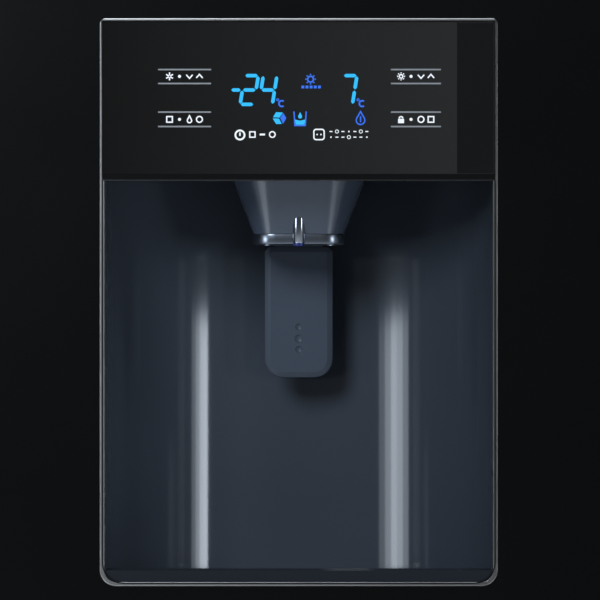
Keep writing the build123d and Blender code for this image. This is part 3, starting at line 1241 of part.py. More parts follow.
# Interior lights: shallow lens covers under both ceilings
LIGHT_W = 150.0
LIGHT_D = 60.0
LIGHT_H = 10.0
LIGHT_R = 12.0
LIGHT_TAPER = 20.0       # degrees
LIGHT_Y = 90.0           # lens behind the cabinet front
interior_lights = [
    extrude(
        Plane.XY.offset(CAVITY_Z1)
        * rect(
            mid - LIGHT_W / 2, mid + LIGHT_W / 2, Y_CASE + LIGHT_Y, Y_CASE + LIGHT_Y + LIGHT_D, LIGHT_R
        ),
        LIGHT_H,
        dir=(0, 0, -1),
        taper=LIGHT_TAPER,
    )
    for mid in (freezer_mid, fridge_mid)
]

# Compressor: a welded two part shell on a foot plate, standing on four rubber mounts
COMP_IN = 185.0          # compressor's middle in from the case side
COMP_R = 82.0
COMP_SIDES = 20          # flats that stand for the round shell
COMP_H = 150.0
COMP_DOME = 24.0         # sloped shoulders of the shell
COMP_SEAM = 4.0          # upper shell outside the lower one
COMP_FOOT = 150.0        # spacing of the mounts
COMP_FOOT_W = 34.0
COMP_FOOT_T = 3.0
MOUNT_R = 13.0
MOUNT_SIDES = 8
MOUNT_H = 18.0
comp_x = X_RIGHT - COMP_IN
machine_y = (Y_MACHINE + Y_BACK) / 2
tray_top = CASE_BOTTOM + BASE_SHEET
foot_z = tray_top + MOUNT_H
shell_z0 = foot_z + COMP_FOOT_T


def half_shell(radius, z0, z1, dome_z):
    """One pressed half of the shell, its closed end sloped at the rim."""
    half = upright(Pos(comp_x, machine_y) * RegularPolygon(radius, COMP_SIDES), z0, z1)
    return chamfer([edge for edge in half.edges() if edge.center().Z == dome_z], COMP_DOME)


seam_z = shell_z0 + COMP_H / 2
compressor = half_shell(COMP_R - COMP_SEAM, shell_z0, seam_z, shell_z0)
compressor = compressor + half_shell(COMP_R, seam_z, shell_z0 + COMP_H, shell_z0 + COMP_H)
foot_plate = Rectangle(COMP_FOOT + COMP_FOOT_W, COMP_FOOT_W) + Rectangle(COMP_FOOT_W, COMP_FOOT + COMP_FOOT_W)
foot_plate = Pos(comp_x, machine_y) * Rot(0, 0, 45) * foot_plate
compressor = compressor + upright(foot_plate, foot_z, foot_z + COMP_FOOT_T)
compressor_mounts = [
    upright(
        Pos(comp_x, machine_y) * place * RegularPolygon(MOUNT_R, MOUNT_SIDES), tray_top, foot_z
    )
    for place in PolarLocations(COMP_FOOT / 2, 4, 45)
]

# Condenser, its fan and the shroud that holds the fan motor, on the compressor tray
COND_IN = 40.0           # fins in from the case side
COND_SPAN = 250.0
COND_D = 150.0
COND_H = 190.0
COND_ROWS = 4
SHROUD_GAP = 35.0        # fins to the fan's shroud
SHROUD_T = 3.0
COND_FAN_R = 80.0
COND_HUB_R = 22.0
COND_OPEN_R = 85.0
SHROUD_H = 210.0
cond_x0 = X_LEFT + COND_IN
shroud_x = cond_x0 + COND_SPAN + SHROUD_GAP
condenser = finned_coil(
    cond_x0, COND_SPAN, machine_y - COND_D / 2, COND_D, tray_top, COND_H, COND_ROWS, TURN_OUT
)
fan_z = tray_top + SHROUD_H / 2
shroud_face = Pos(machine_y, fan_z) * Rectangle(SHROUD_H, SHROUD_H)
shroud_face = shroud_face - Pos(machine_y, fan_z) * RegularPolygon(COND_OPEN_R, OPEN_SIDES)
to_right = Plane(origin=(shroud_x + SHROUD_T + FAN_SET, machine_y, fan_z), x_dir=(0, 1, 0), z_dir=(1, 0, 0))
condenser_shroud = across(shroud_face, shroud_x, shroud_x + SHROUD_T)
condenser_shroud = condenser_shroud + to_right.location * fan_mount(COND_OPEN_R, FAN_SET)
condenser_fan = to_right.location * fan_rotor(COND_FAN_R, COND_HUB_R)

# Drain pan: a shallow pan under the air stream, where the defrost water dries off
PAN_GAP = 87.0           # shroud to the pan, the fan motor's room
PAN_COMP = 130.0         # pan to the compressor's middle
PAN_D = 180.0
PAN_H = 36.0
PAN_R = 14.0
pan_x0 = shroud_x + SHROUD_T + PAN_GAP
pan_x1 = comp_x - PAN_COMP
drain_pan = upright(
    rect(pan_x0, pan_x1, machine_y - PAN_D / 2, machine_y + PAN_D / 2, PAN_R), tray_top, tray_top + PAN_H
) - upright(
    rect(
        pan_x0 + COVER_WALL,
        pan_x1 - COVER_WALL,
        machine_y - PAN_D / 2 + COVER_WALL,
        machine_y + PAN_D / 2 - COVER_WALL,
        PAN_R - COVER_WALL,
    ),
    tray_top + COVER_WALL,
    tray_top + PAN_H,
)

# Feet and rollers: screw feet in front, rollers behind, both inside the base rails
FOOT_R = 17.0
FOOT_H = 8.0
FOOT_SIDES = 6
STEM_R = 5.0
STEM_TOP = 34.0
STEM_BOSS = 24.0         # square boss that holds a foot's stem
BOSS_Z = 20.0            # underside of that boss
FOOT_Y = 42.0            # foot behind the cabinet front
ROLLER_R = 16.0
ROLLER_W = 22.0
ROLLER_SIDES = 24        # flats that stand for the round tread
AXLE_R = 4.0
ROLLER_Y = 64.0          # roller in front of the cabinet back
rail_mid = X_RIGHT - RAIL_IN - RAIL_W / 2
foot_y = Y_CASE + FOOT_Y
roller_y = Y_BACK - ROLLER_Y
feet = []
rollers = []
for side in (-1, 1):
    x = side * rail_mid
    boss = rect(x - STEM_BOSS / 2, x + STEM_BOSS / 2, foot_y - STEM_BOSS / 2, foot_y + STEM_BOSS / 2)
    boss = boss - Pos(x, foot_y) * Circle(STEM_R + PIN_CLEAR)
    base_frame = base_frame + upright(boss, BOSS_Z, CASE_BOTTOM)
    stem = upright(Pos(x, foot_y) * Circle(STEM_R), 0, STEM_TOP)
    feet.append(stem + upright(Pos(x, foot_y) * RegularPolygon(FOOT_R, FOOT_SIDES), 0, FOOT_H))
    axle_half = RAIL_W / 2 - BASE_SHEET / 2
    axle = rod((x - axle_half, roller_y, ROLLER_R), (x + axle_half, roller_y, ROLLER_R), AXLE_R)
    base_frame = base_frame + axle
    wheel = RegularPolygon(ROLLER_R, ROLLER_SIDES) - Circle(AXLE_R + PIN_CLEAR)
    rollers.append(across(Pos(roller_y, ROLLER_R) * wheel, x - ROLLER_W / 2, x + ROLLER_W / 2))
foot_left, foot_right = feet
roller_left, roller_right = rollers

# Kick grille: a slotted moulding clipped across the front of the base
GRILLE_Z0 = 9.0
GRILLE_Z1 = 38.0
GRILLE_D = 16.0
GRILLE_WALL = 2.5
GRILLE_END = 4.0         # grille in from the case sides
KICK_SLOTS = 16
KICK_SLOT_W = 42.0
KICK_SLOT_H = 12.0
KICK_PITCH = 52.0
kick_y0 = Y_CASE + SHEET - GRILLE_D
kick_profile = outline(
    (Y_CASE + SHEET, GRILLE_Z0),
    (kick_y0, GRILLE_Z0),
    (kick_y0, GRILLE_Z1),
    (Y_CASE + SHEET, GRILLE_Z1),
    (Y_CASE + SHEET, GRILLE_Z1 - GRILLE_WALL),
    (kick_y0 + GRILLE_WALL, GRILLE_Z1 - GRILLE_WALL),
    (kick_y0 + GRILLE_WALL, GRILLE_Z0 + GRILLE_WALL),
    (Y_CASE + SHEET, GRILLE_Z0 + GRILLE_WALL),
)
kick_grille = across(kick_profile, X_LEFT + GRILLE_END, X_RIGHT - GRILLE_END)
kick_slots = Sketch() + [
    place * Rectangle(KICK_SLOT_W, KICK_SLOT_H) for place in GridLocations(KICK_PITCH, 1, KICK_SLOTS, 1)
]
kick_grille = kick_grille - from_front(
    Pos(0, (GRILLE_Z0 + GRILLE_Z1) / 2) * kick_slots, kick_y0, kick_y0 + GRILLE_WALL
)

# Hinges: a pinned plate on the cabinet top and an angle under each door, with covers and screws
HINGE_T = 4.0
HINGE_HALF = 15.0
HINGE_REACH = 14.0       # plate in front of the hinge axis
HINGE_TAIL = 70.0        # plate behind the cabinet front
LOW_LEG = 24.0           # upright leg of the lower hinge
WASHER_R = 9.0
WASHER_SIDES = 8
SCREW_HEAD_R = 5.0
SCREW_HEAD_H = 3.5
SCREW_SIDES = 6
COVER_REACH = 24.0       # hinge cover in front of the axis
COVER_TAIL = 92.0
COVER_HALF = 34.0        # cover's inner edge in from the hinge axis
COVER_SKIN = 2.5
COVER_R = 8.0
SCREWS = 3               # screws in each upper hinge
SCREW_STEP = 24.0
hinges = []
hinge_covers = []
cabinet_screws = []
for door, side in ((freezer_door, -1), (fridge_door, 1)):
    x = door.axis_x
    plate_face = rect(x - HINGE_HALF, x + HINGE_HALF, HINGE_Y - HINGE_REACH, Y_CASE + HINGE_TAIL, HINGE_HALF)
    top_pin = upright(Pos(x, HINGE_Y) * Circle(HINGE_PIN_R), DOOR_TOP - HINGE_PIN_H, CASE_TOP)
    hinges.append(upright(plate_face, CASE_TOP, CASE_TOP + HINGE_T) + top_pin)
    for index in range(SCREWS):
        screw_y = Y_CASE + HINGE_TAIL - SCREW_STEP * (index + 0.5)
        head = Pos(x, screw_y) * RegularPolygon(SCREW_HEAD_R, SCREW_SIDES)
        cabinet_screws.append(upright(head, CASE_TOP + HINGE_T, CASE_TOP + HINGE_T + SCREW_HEAD_H))
    leg_y = Y_CASE - HINGE_T
    washer_z = DOOR_BOTTOM - HINGE_T / 2
    arm_face = rect(x - HINGE_HALF, x + HINGE_HALF, HINGE_Y - HINGE_REACH, Y_CASE)
    arm = upright(arm_face, washer_z - HINGE_T, washer_z)
    leg_face = rect(x - HINGE_HALF, x + HINGE_HALF, washer_z - HINGE_T, washer_z + LOW_LEG)
    leg = from_front(leg_face, leg_y, Y_CASE)
    washer = upright(Pos(x, HINGE_Y) * RegularPolygon(WASHER_R, WASHER_SIDES), washer_z, DOOR_BOTTOM)
    low_pin = upright(Pos(x, HINGE_Y) * Circle(HINGE_PIN_R), DOOR_BOTTOM, DOOR_BOTTOM + HINGE_PIN_H)
    hinges.append(arm + leg + washer + low_pin)
    inner_x = x - side * COVER_HALF
    outer_x = side * X_RIGHT
    cover = block(
        min(inner_x, outer_x),
        max(inner_x, outer_x),
        HINGE_Y - COVER_REACH,
        Y_CASE + COVER_TAIL,
        CASE_TOP,
        HEIGHT,
    )
    upper = [edge for edge in cover.edges() if edge.center().Z > CASE_TOP + HINGE_T]
    cover = chamfer(upper, COVER_R * CORNER_CUT)
    cover = cover - block(
        min(inner_x, outer_x) + COVER_SKIN,
        max(inner_x, outer_x) - COVER_SKIN,
        HINGE_Y - COVER_REACH + COVER_SKIN,
        Y_CASE + COVER_TAIL - COVER_SKIN,
        CASE_TOP,
        HEIGHT - COVER_R,
    )
    hinge_covers.append(cover)

# One file for each sub-part
save("outer_case", outer_case)
save("cabinet_foam", cabinet_foam)
save("freezer_liner", freezer_liner)
save("fridge_liner", fridge_liner)
save("back_panel", back_panel)
save("machine_cover", machine_cover)
save("base_frame", base_frame)
save("kick_grille", kick_grille)
save("hinges", *hinges)
save("hinge_covers", *hinge_covers)
save("cabinet_screws", *cabinet_screws)
save("foot_left", foot_left)
save("foot_right", foot_right)
save("roller_left", roller_left)
save("roller_right", roller_right)
save("compressor", compressor)
save("compressor_mounts", *compressor_mounts)
save("condenser", condenser)
save("condenser_shroud", condenser_shroud)
save("condenser_fan", condenser_fan)
save("drain_pan", drain_pan)
save("glass_shelves", *glass_shelves)
save("shelf_edges", *shelf_edges)
save("freezer_drawer_upper", freezer_drawer_upper)
save("freezer_drawer_lower", freezer_drawer_lower)
save("crisper_upper", crisper_upper)
save("crisper_lower", crisper_lower)
save("evaporator_cover", evaporator_cover)
save("evaporator", evaporator)
save("evaporator_fan", evaporator_fan)
save("ice_maker", ice_maker)
save("ice_bucket", ice_bucket)
save("ice_auger", ice_auger)
save("auger_drive", auger_drive)
save("air_duct", air_duct)
save("interior_lights", *interior_lights)
save("freezer_door_skin", freezer_door_skin)
save("freezer_door_foam", freezer_door_foam)
save("freezer_door_liner", freezer_door_liner)
save("freezer_door_gasket", freezer_door_gasket)
save("freezer_door_bins", *freezer_door_bins)
save("freezer_door_trims", *freezer_door_trims)
save("fridge_door_skin", fridge_door_skin)
save("fridge_door_foam", fridge_door_foam)
save("fridge_door_liner", fridge_door_liner)
save("fridge_door_gasket", fridge_door_gasket)
save("fridge_door_bins", *fridge_door_bins)
save("fridge_door_trims", *fridge_door_trims)
save("dairy_lid", dairy_lid)
save("dispenser_frame", dispenser_frame)
save("dispenser_housing", dispenser_housing)
save("control_panel", control_panel)
save("display_board", display_board)
save("ice_chute", ice_chute)
save("ice_flap", ice_flap)
save("water_nozzle", water_nozzle)
save("paddle", paddle)
save("paddle_switch", paddle_switch)
save("drip_tray", drip_tray)
save("drip_grille", drip_grille)
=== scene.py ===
import json
import math

import bmesh
import bpy
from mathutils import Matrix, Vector


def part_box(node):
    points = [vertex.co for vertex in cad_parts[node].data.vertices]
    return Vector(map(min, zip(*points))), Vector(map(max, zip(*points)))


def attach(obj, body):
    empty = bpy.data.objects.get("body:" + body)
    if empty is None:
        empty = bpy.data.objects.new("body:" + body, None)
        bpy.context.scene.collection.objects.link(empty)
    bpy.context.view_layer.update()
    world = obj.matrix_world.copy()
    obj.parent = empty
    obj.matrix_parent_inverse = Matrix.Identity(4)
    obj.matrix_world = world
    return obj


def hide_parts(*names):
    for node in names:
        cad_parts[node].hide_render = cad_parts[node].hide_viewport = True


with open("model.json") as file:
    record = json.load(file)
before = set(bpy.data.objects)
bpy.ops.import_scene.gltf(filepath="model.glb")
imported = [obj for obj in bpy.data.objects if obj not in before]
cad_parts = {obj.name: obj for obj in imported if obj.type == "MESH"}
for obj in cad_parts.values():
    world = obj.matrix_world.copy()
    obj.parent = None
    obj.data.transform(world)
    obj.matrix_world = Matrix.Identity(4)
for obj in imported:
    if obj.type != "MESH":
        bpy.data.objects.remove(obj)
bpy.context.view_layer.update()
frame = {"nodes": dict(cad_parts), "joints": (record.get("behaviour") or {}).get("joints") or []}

# Outer case. A folded wrapper of pre-painted steel that forms the sides and the top of the cabinet.
# The charcoal paint has a fine pebbled texture that hides finger marks.
def shade(red, green, blue):
    """A colour written as it looks on a screen, 0 to 255, turned into the light it reflects."""
    parts = [value / 255 for value in (red, green, blue)]
    return [part / 12.92 if part <= 0.04045 else ((part + 0.055) / 1.055) ** 2.4 for part in parts]


def effect(name, inputs, outputs):
    """An empty shader node group with named sockets."""
    group = bpy.data.node_groups.new(name, "ShaderNodeTree")
    for socket, kind in inputs:
        group.interface.new_socket(socket, in_out="INPUT", socket_type=kind)
    for socket, kind in outputs:
        group.interface.new_socket(socket, in_out="OUTPUT", socket_type=kind)
    return group, group.nodes.new("NodeGroupInput"), group.nodes.new("NodeGroupOutput")


def number(group, operation, first, second, third=0.0):
    """One sum inside a node group."""
    node = group.nodes.new("ShaderNodeMath")
    node.operation = operation
    for socket, value in zip(node.inputs, (first, second, third)):
        if isinstance(value, bpy.types.NodeSocket):
            group.links.new(value, socket)
        else:
            socket.default_value = value
    return node.outputs[0]


SURFACE_INPUTS = (
    ("Colour", "NodeSocketColor"),
    ("Mottle", "NodeSocketFloat"),
    ("Roughness", "NodeSocketFloat"),
    ("Spread", "NodeSocketFloat"),
    ("Scale", "NodeSocketFloat"),
    ("Stretch", "NodeSocketVector"),
)
SURFACE_OUTPUTS = (
    ("Colour", "NodeSocketColor"),
    ("Roughness", "NodeSocketFloat"),
    ("Height", "NodeSocketFloat"),
)


def grain_effect():
    """Uneven colour and gloss in broad patches, with a fine relief that may be drawn out one way."""
    group, inside, outside = effect("surface grain", SURFACE_INPUTS, SURFACE_OUTPUTS)
    place = group.nodes.new("ShaderNodeTexCoord")
    stretched = group.nodes.new("ShaderNodeVectorMath")
    stretched.operation = "MULTIPLY"
    group.links.new(place.outputs["Object"], stretched.inputs[0])
    group.links.new(inside.outputs["Stretch"], stretched.inputs[1])
    fine = group.nodes.new("ShaderNodeTexNoise")
    fine.inputs["Detail"].default_value = 3.0
    group.links.new(stretched.outputs[0], fine.inputs["Vector"])
    group.links.new(inside.outputs["Scale"], fine.inputs["Scale"])
    broad = group.nodes.new("ShaderNodeTexNoise")
    broad.inputs["Scale"].default_value = 11.0
    broad.inputs["Detail"].default_value = 4.0
    group.links.new(place.outputs["Object"], broad.inputs["Vector"])
    patch = number(group, "MULTIPLY_ADD", broad.outputs["Fac"], 2.0, -1.0)
    speck = number(group, "MULTIPLY_ADD", fine.outputs["Fac"], 2.0, -1.0)
    both = number(group, "ADD", patch, speck)
    tone = number(group, "MULTIPLY_ADD", both, inside.outputs["Mottle"], 1.0)
    colour = group.nodes.new("ShaderNodeVectorMath")
    colour.operation = "SCALE"
    group.links.new(inside.outputs["Colour"], colour.inputs[0])
    group.links.new(tone, colour.inputs["Scale"])
    group.links.new(colour.outputs[0], outside.inputs["Colour"])
    gloss = number(group, "MULTIPLY_ADD", patch, inside.outputs["Spread"], inside.outputs["Roughness"])
    group.links.new(gloss, outside.inputs["Roughness"])
    group.links.new(fine.outputs["Fac"], outside.inputs["Height"])
    return group


surface_grain = grain_effect()
MM_PER_M = 1000


def finish(name, colour, roughness, grains, relief, mottle=0.06, spread=0.05, stretch=(1, 1, 1), **plain):
    """A finish whose colour, gloss and relief come from the grain. Grains are counted to the metre,
    relief is their height in millimetres, and what is the same all over goes on the sockets."""
    material = bpy.data.materials.new(name)
    material.use_nodes = True
    tree = material.node_tree
    shader = tree.nodes["Principled BSDF"]
    grain = tree.nodes.new("ShaderNodeGroup")
    grain.node_tree = surface_grain
    grain.inputs["Colour"].default_value = (*shade(*colour), 1.0)
    grain.inputs["Mottle"].default_value = mottle
    grain.inputs["Roughness"].default_value = roughness
    grain.inputs["Spread"].default_value = spread
    grain.inputs["Scale"].default_value = grains
    grain.inputs["Stretch"].default_value = stretch
    bump = tree.nodes.new("ShaderNodeBump")
    bump.inputs["Strength"].default_value = 1.0
    bump.inputs["Distance"].default_value = relief / MM_PER_M
    tree.links.new(grain.outputs["Colour"], shader.inputs["Base Color"])
    tree.links.new(grain.outputs["Roughness"], shader.inputs["Roughness"])
    tree.links.new(grain.outputs["Height"], bump.inputs["Height"])
    tree.links.new(bump.outputs["Normal"], shader.inputs["Normal"])
    for socket, value in plain.items():
        shader.inputs[socket.replace("_", " ")].default_value = value
    return material


WELD_GAP = 0.00001
SHARP_ANGLE = math.radians(30)


def joined_skin():
    """Geometry nodes that join a solid's faces at their edges and shade them smooth up to an angle."""
    group = bpy.data.node_groups.new("joined skin", "GeometryNodeTree")
    group.interface.new_socket("Geometry", in_out="INPUT", socket_type="NodeSocketGeometry")
    group.interface.new_socket("Geometry", in_out="OUTPUT", socket_type="NodeSocketGeometry")
    start = group.nodes.new("NodeGroupInput")
    end = group.nodes.new("NodeGroupOutput")
    weld = group.nodes.new("GeometryNodeMergeByDistance")
    weld.inputs["Distance"].default_value = WELD_GAP
    bare = group.nodes.new("GeometryNodeRemoveAttribute")
    bare.inputs["Name"].default_value = "custom_normal"
    smooth = group.nodes.new("GeometryNodeSetShadeSmooth")
    crease = group.nodes.new("GeometryNodeSetShadeSmooth")
    crease.domain = "EDGE"
    crease.inputs["Shade Smooth"].default_value = False
    angle = group.nodes.new("GeometryNodeInputMeshEdgeAngle")
    sharp = group.nodes.new("FunctionNodeCompare")
    sharp.inputs["B"].default_value = SHARP_ANGLE
    group.links.new(start.outputs[0], weld.inputs["Geometry"])
    group.links.new(weld.outputs[0], bare.inputs["Geometry"])
    group.links.new(bare.outputs[0], smooth.inputs["Geometry"])
    group.links.new(smooth.outputs[0], crease.inputs["Geometry"])
    group.links.new(angle.outputs["Unsigned Angle"], sharp.inputs["A"])
    group.links.new(sharp.outputs[0], crease.inputs["Selection"])
    group.links.new(crease.outputs[0], end.inputs[0])
    return group


skin_join = joined_skin()


def dress(node, material, ease=0.0):
    """Give a solid its finish and ease its sharp edges by so many millimetres."""
    solid = frame["nodes"][node]
    solid.data.materials.clear()
    solid.data.materials.append(material)
    if ease:
        solid.modifiers.new("joined skin", "NODES").node_group = skin_join
        bevel = solid.modifiers.new("eased edges", "BEVEL")
        bevel.width = ease / MM_PER_M
        bevel.segments = 2
        bevel.limit_method = "ANGLE"
        bevel.angle_limit = SHARP_ANGLE
        bevel.harden_normals = True
    return solid


case_paint = finish(
    "charcoal pebbled paint", (34, 35, 37), roughness=0.5, grains=900, relief=0.05,
    Specular_IOR_Level=0.35,
)
dress("outer_case", case_paint, ease=0.8)

# Back panel, machine cover and base. Galvanised sheet steel, pressed and screwed on from behind.
# The zinc shows faint spangle and dull patches.
zinc = finish(
    "galvanised sheet", (150, 153, 156), roughness=0.42, grains=160, relief=0.01, mottle=0.1,
    spread=0.1, Metallic=0.5,
)
dress("back_panel", zinc, ease=0.4)
dress("machine_cover", zinc, ease=0.3)
dress("base_frame", zinc, ease=0.3)

# Kick grille and hinge covers. The grille lets air in under the doors and the covers hide the hinges.
# Both are black moulded plastic with a fine spark-eroded texture, clipped on.
black_moulding = finish(
    "black moulding", (22, 22, 24), roughness=0.46, grains=1400, relief=0.02,
    Specular_IOR_Level=0.35,
)
dress("kick_grille", black_moulding, ease=0.5)
dress("hinge_covers", black_moulding, ease=1.2)

# Hinges and screws. Zinc plated steel plates with pressed-in pins that carry the doors,
# held to the cabinet by hexagon screws.
plated = finish(
    "plated steel", (176, 178, 182), roughness=0.3, grains=700, relief=0.004, mottle=0.08,
    spread=0.08, Metallic=1.0,
)
dress("hinges", plated, ease=0.3)
dress("cabinet_screws", plated, ease=0.3)

# Feet and rollers. Two plated steel screw feet in front level the cabinet.
# Two pale nylon wheels turn on fixed axles behind.
nylon = finish("pale nylon", (196, 197, 192), roughness=0.5, grains=1200, relief=0.01)
for node in ("foot_left", "foot_right"):
    dress(node, plated, ease=0.4)
for node in ("roller_left", "roller_right"):
    dress(node, nylon, ease=0.6)

# Poured foam. Rigid polyurethane that is poured between case and liner, and into the doors, where it sets.
# It is straw coloured and its skin is open and matt.
foam = finish("poured foam", (222, 207, 162), roughness=0.9, grains=320, relief=0.4, mottle=0.1)
for node in ("cabinet_foam", "freezer_door_foam", "fridge_door_foam"):
    dress(node, foam)

# Liners. White plastic sheet, vacuum formed in one piece with its shelf ledges.
# The foam behind it holds it, and its face is slightly glossy.
liner_white = finish(
    "formed liner", (232, 234, 236), roughness=0.3, grains=500, relief=0.002, mottle=0.005,
    spread=0.02,
)
for node in ("freezer_liner", "fridge_liner", "freezer_door_liner", "fridge_door_liner"):
    dress(node, liner_white, ease=1.0)

# Machine compartment. A black enamelled compressor on rubber mounts, a painted condenser, a fan in its
# shroud and the defrost water pan.
enamel = finish("black enamel", (18, 18, 19), roughness=0.25, grains=260, relief=0.02)
rubber = finish("black rubber", (28, 28, 28), roughness=0.8, grains=1500, relief=0.02)
coil_paint = finish("coil paint", (26, 26, 28), roughness=0.55, grains=900, relief=0.02)
grey_moulding = finish("grey moulding", (120, 124, 128), roughness=0.5, grains=1300, relief=0.015)
fan_plastic = finish("fan plastic", (58, 60, 64), roughness=0.4, grains=1300, relief=0.01)
dress("compressor", enamel, ease=1.5)
dress("compressor_mounts", rubber, ease=0.8)
dress("condenser", coil_paint)
dress("condenser_shroud", grey_moulding, ease=0.4)
dress("condenser_fan", fan_plastic, ease=0.3)
dress("drain_pan", grey_moulding, ease=0.6)

# Shelves. Toughened glass panes let into white moulded strips at front and back,
# which lie on the ledges of the liners.
pane = finish(
    "shelf glass", (226, 240, 235), roughness=0.03, grains=300, relief=0.001, mottle=0.01,
    spread=0.01, Transmission_Weight=0.94, IOR=1.5,
)
white_moulding = finish(
    "white moulding", (228, 230, 231), roughness=0.35, grains=1200, relief=0.01, mottle=0.012,
)
dress("glass_shelves", pane, ease=0.4)
dress("shelf_edges", white_moulding, ease=1.0)

# Drawers, crispers, bins and dairy lid. Clear moulded polystyrene with a cool tint.
# The drawers slide on the ledges of the liners, and the bins sit on the door liners.
clear = finish(
    "clear moulding", (222, 231, 236), roughness=0.08, grains=200, relief=0.004, mottle=0.01,
    spread=0.03, Transmission_Weight=0.88, IOR=1.45,
)
for node in ("freezer_drawer_upper", "freezer_drawer_lower", "crisper_upper", "crisper_lower"):
    dress(node, clear, ease=0.6)
for node in ("freezer_door_bins", "fridge_door_bins", "dairy_lid"):
    dress(node, clear, ease=0.6)

# Freezer works. Evaporator behind its white cover with the fan, and the ice maker over its bucket,
# auger and drive.
fins = finish(
    "bare aluminium", (190, 193, 197), roughness=0.35, grains=900, relief=0.03, mottle=0.1,
    spread=0.08, stretch=(1, 1, 0.05), Metallic=1.0,
)
dress("evaporator_cover", white_moulding, ease=0.5)
dress("evaporator", fins)
dress("evaporator_fan", fan_plastic, ease=0.3)
dress("ice_maker", grey_moulding, ease=0.6)
dress("ice_bucket", clear, ease=0.6)
dress("ice_auger", plated, ease=0.4)
dress("auger_drive", white_moulding, ease=1.0)
dress("air_duct", white_moulding, ease=0.8)
lens = finish(
    "milky lens", (240, 241, 238), roughness=0.4, grains=800, relief=0.01, mottle=0.01,
    Transmission_Weight=0.35,
)
dress("interior_lights", lens, ease=0.8)

# Doors. Black satin steel skins folded over moulded end caps, a grip strip along the latch side,
# and a magnetic gasket pressed into the liner.
door_paint = finish(
    "black satin paint", (8, 7.8, 7.5), roughness=0.34, grains=420, relief=0.004, mottle=0.05,
    spread=0.04, Specular_IOR_Level=0.09,
)
seal = finish("gasket vinyl", (64, 65, 67), roughness=0.6, grains=900, relief=0.02)
for node in ("freezer_door_skin", "fridge_door_skin"):
    dress(node, door_paint, ease=0.5)
for node in ("freezer_door_trims", "fridge_door_trims"):
    dress(node, black_moulding, ease=0.6)
for node in ("freezer_door_gasket", "fridge_door_gasket"):
    dress(node, seal, ease=0.6)

# Dispenser frame. A thin moulding with a satin silver finish, glued into the door skin round the
# control panel and the recess.
FADE_INPUTS = (
    ("Colour", "NodeSocketColor"),
    ("Left", "NodeSocketFloat"),
    ("Right", "NodeSocketFloat"),
    ("Left share", "NodeSocketFloat"),
    ("Right share", "NodeSocketFloat"),
)
FADE_ENDS = (
    ("Left", "From Min"),
    ("Right", "From Max"),
    ("Left share", "To Min"),
    ("Right share", "To Max"),
)


def painted_light_effect():
    """Painted light and shade: a colour that grows or dims evenly from a left place to a right one."""
    group, inside, outside = effect("painted light sideways", FADE_INPUTS, (("Colour", "NodeSocketColor"),))
    place = group.nodes.new("ShaderNodeTexCoord")
    split = group.nodes.new("ShaderNodeSeparateXYZ")
    group.links.new(place.outputs["Object"], split.inputs[0])
    ramp = group.nodes.new("ShaderNodeMapRange")
    group.links.new(split.outputs["X"], ramp.inputs["Value"])
    for socket, end in FADE_ENDS:
        group.links.new(inside.outputs[socket], ramp.inputs[end])
    colour = group.nodes.new("ShaderNodeVectorMath")
    colour.operation = "SCALE"
    group.links.new(inside.outputs["Colour"], colour.inputs[0])
    group.links.new(ramp.outputs[0], colour.inputs["Scale"])
    group.links.new(colour.outputs[0], outside.inputs["Colour"])
    return group


painted_light_group = painted_light_effect()
frame_low, frame_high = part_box("dispenser_frame")


def paint_light_across(material, left_share, right_share):
    """Paint light and shade into a finish, evenly across the width of the dispenser frame."""
    tree = material.node_tree
    base = tree.nodes["Principled BSDF"].inputs["Base Color"]
    node = tree.nodes.new("ShaderNodeGroup")
    node.node_tree = painted_light_group
    node.inputs["Left"].default_value = frame_low[0]
    node.inputs["Right"].default_value = frame_high[0]
    node.inputs["Left share"].default_value = left_share
    node.inputs["Right share"].default_value = right_share
    tree.links.new(base.links[0].from_socket, node.inputs["Colour"])
    tree.links.new(node.outputs[0], base)


silver = finish(
    "satin silver", (212, 209, 206), roughness=0.28, grains=900, relief=0.002, mottle=0.04,
    spread=0.05, Metallic=1.0,
)
# Painted shade: the silver is painted darker towards the frame's right side.
paint_light_across(silver, left_share=0.85, right_share=0.5)
dress("dispenser_frame", silver, ease=0.3)

# Control panel. One pane of dark glass, glued in flush with the frame, with its circuit board
# clipped in behind it.
panel_glass = finish(
    "dark glass", (17.5, 17, 16.5), roughness=0.05, grains=120, relief=0.0004, mottle=0.05,
    spread=0.01,
)
# Painted reflection: the glass is painted lighter towards the pane's right end.
paint_light_across(panel_glass, left_share=0.9, right_share=3.6)
board_green = finish("circuit board", (24, 70, 48), roughness=0.4, grains=1500, relief=0.02)
dress("control_panel", panel_glass, ease=0.4)
dress("display_board", board_green)

# Lit figures. The two temperatures, the ice cube and the drop over its cup, in bright blue light.
# They are thin films on the face of the pane, lit by the board, and placed in millimetres
# right of and above the middle of the frame.
dispenser_x = MM_PER_M * (frame_low[0] + frame_high[0]) / 2
dispenser_z = MM_PER_M * (frame_low[2] + frame_high[2]) / 2
glass_face = MM_PER_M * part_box("control_panel")[0][1]
FILM = 0.12


def band(shape, loops, goes_round=False):
    """Faces between closed loops of points, and from the last loop to the first if it goes round."""
    rows = [[shape.verts.new(point) for point in loop] for loop in loops]
    following = rows[1:] + rows[:1] if goes_round else rows[1:]
    for first, second in zip(rows, following):
        for here in range(len(first)):
            shape.faces.new((first[here - 1], first[here], second[here], second[here - 1]))
    return rows


def piece(name, shape, material, body, sharp=SHARP_ANGLE):
    """Turn a shape drawn in millimetres into a piece that moves with a body."""
    bmesh.ops.scale(shape, vec=[1 / MM_PER_M] * 3, verts=shape.verts)
    bmesh.ops.recalc_face_normals(shape, faces=shape.faces)
    mesh = bpy.data.meshes.new(name)
    shape.to_mesh(mesh)
    shape.free()
    mesh.materials.append(material)
    mesh.shade_smooth()
    mesh.set_sharp_from_angle(angle=sharp)
    made = bpy.data.objects.new(name, mesh)
    bpy.context.scene.collection.objects.link(made)
    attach(made, body)
    return made


def on_glass(points, depth):
    """Points right of and above the middle of the frame, set on the pane."""
    return [(dispenser_x + right, glass_face + depth, dispenser_z + up) for right, up in points]


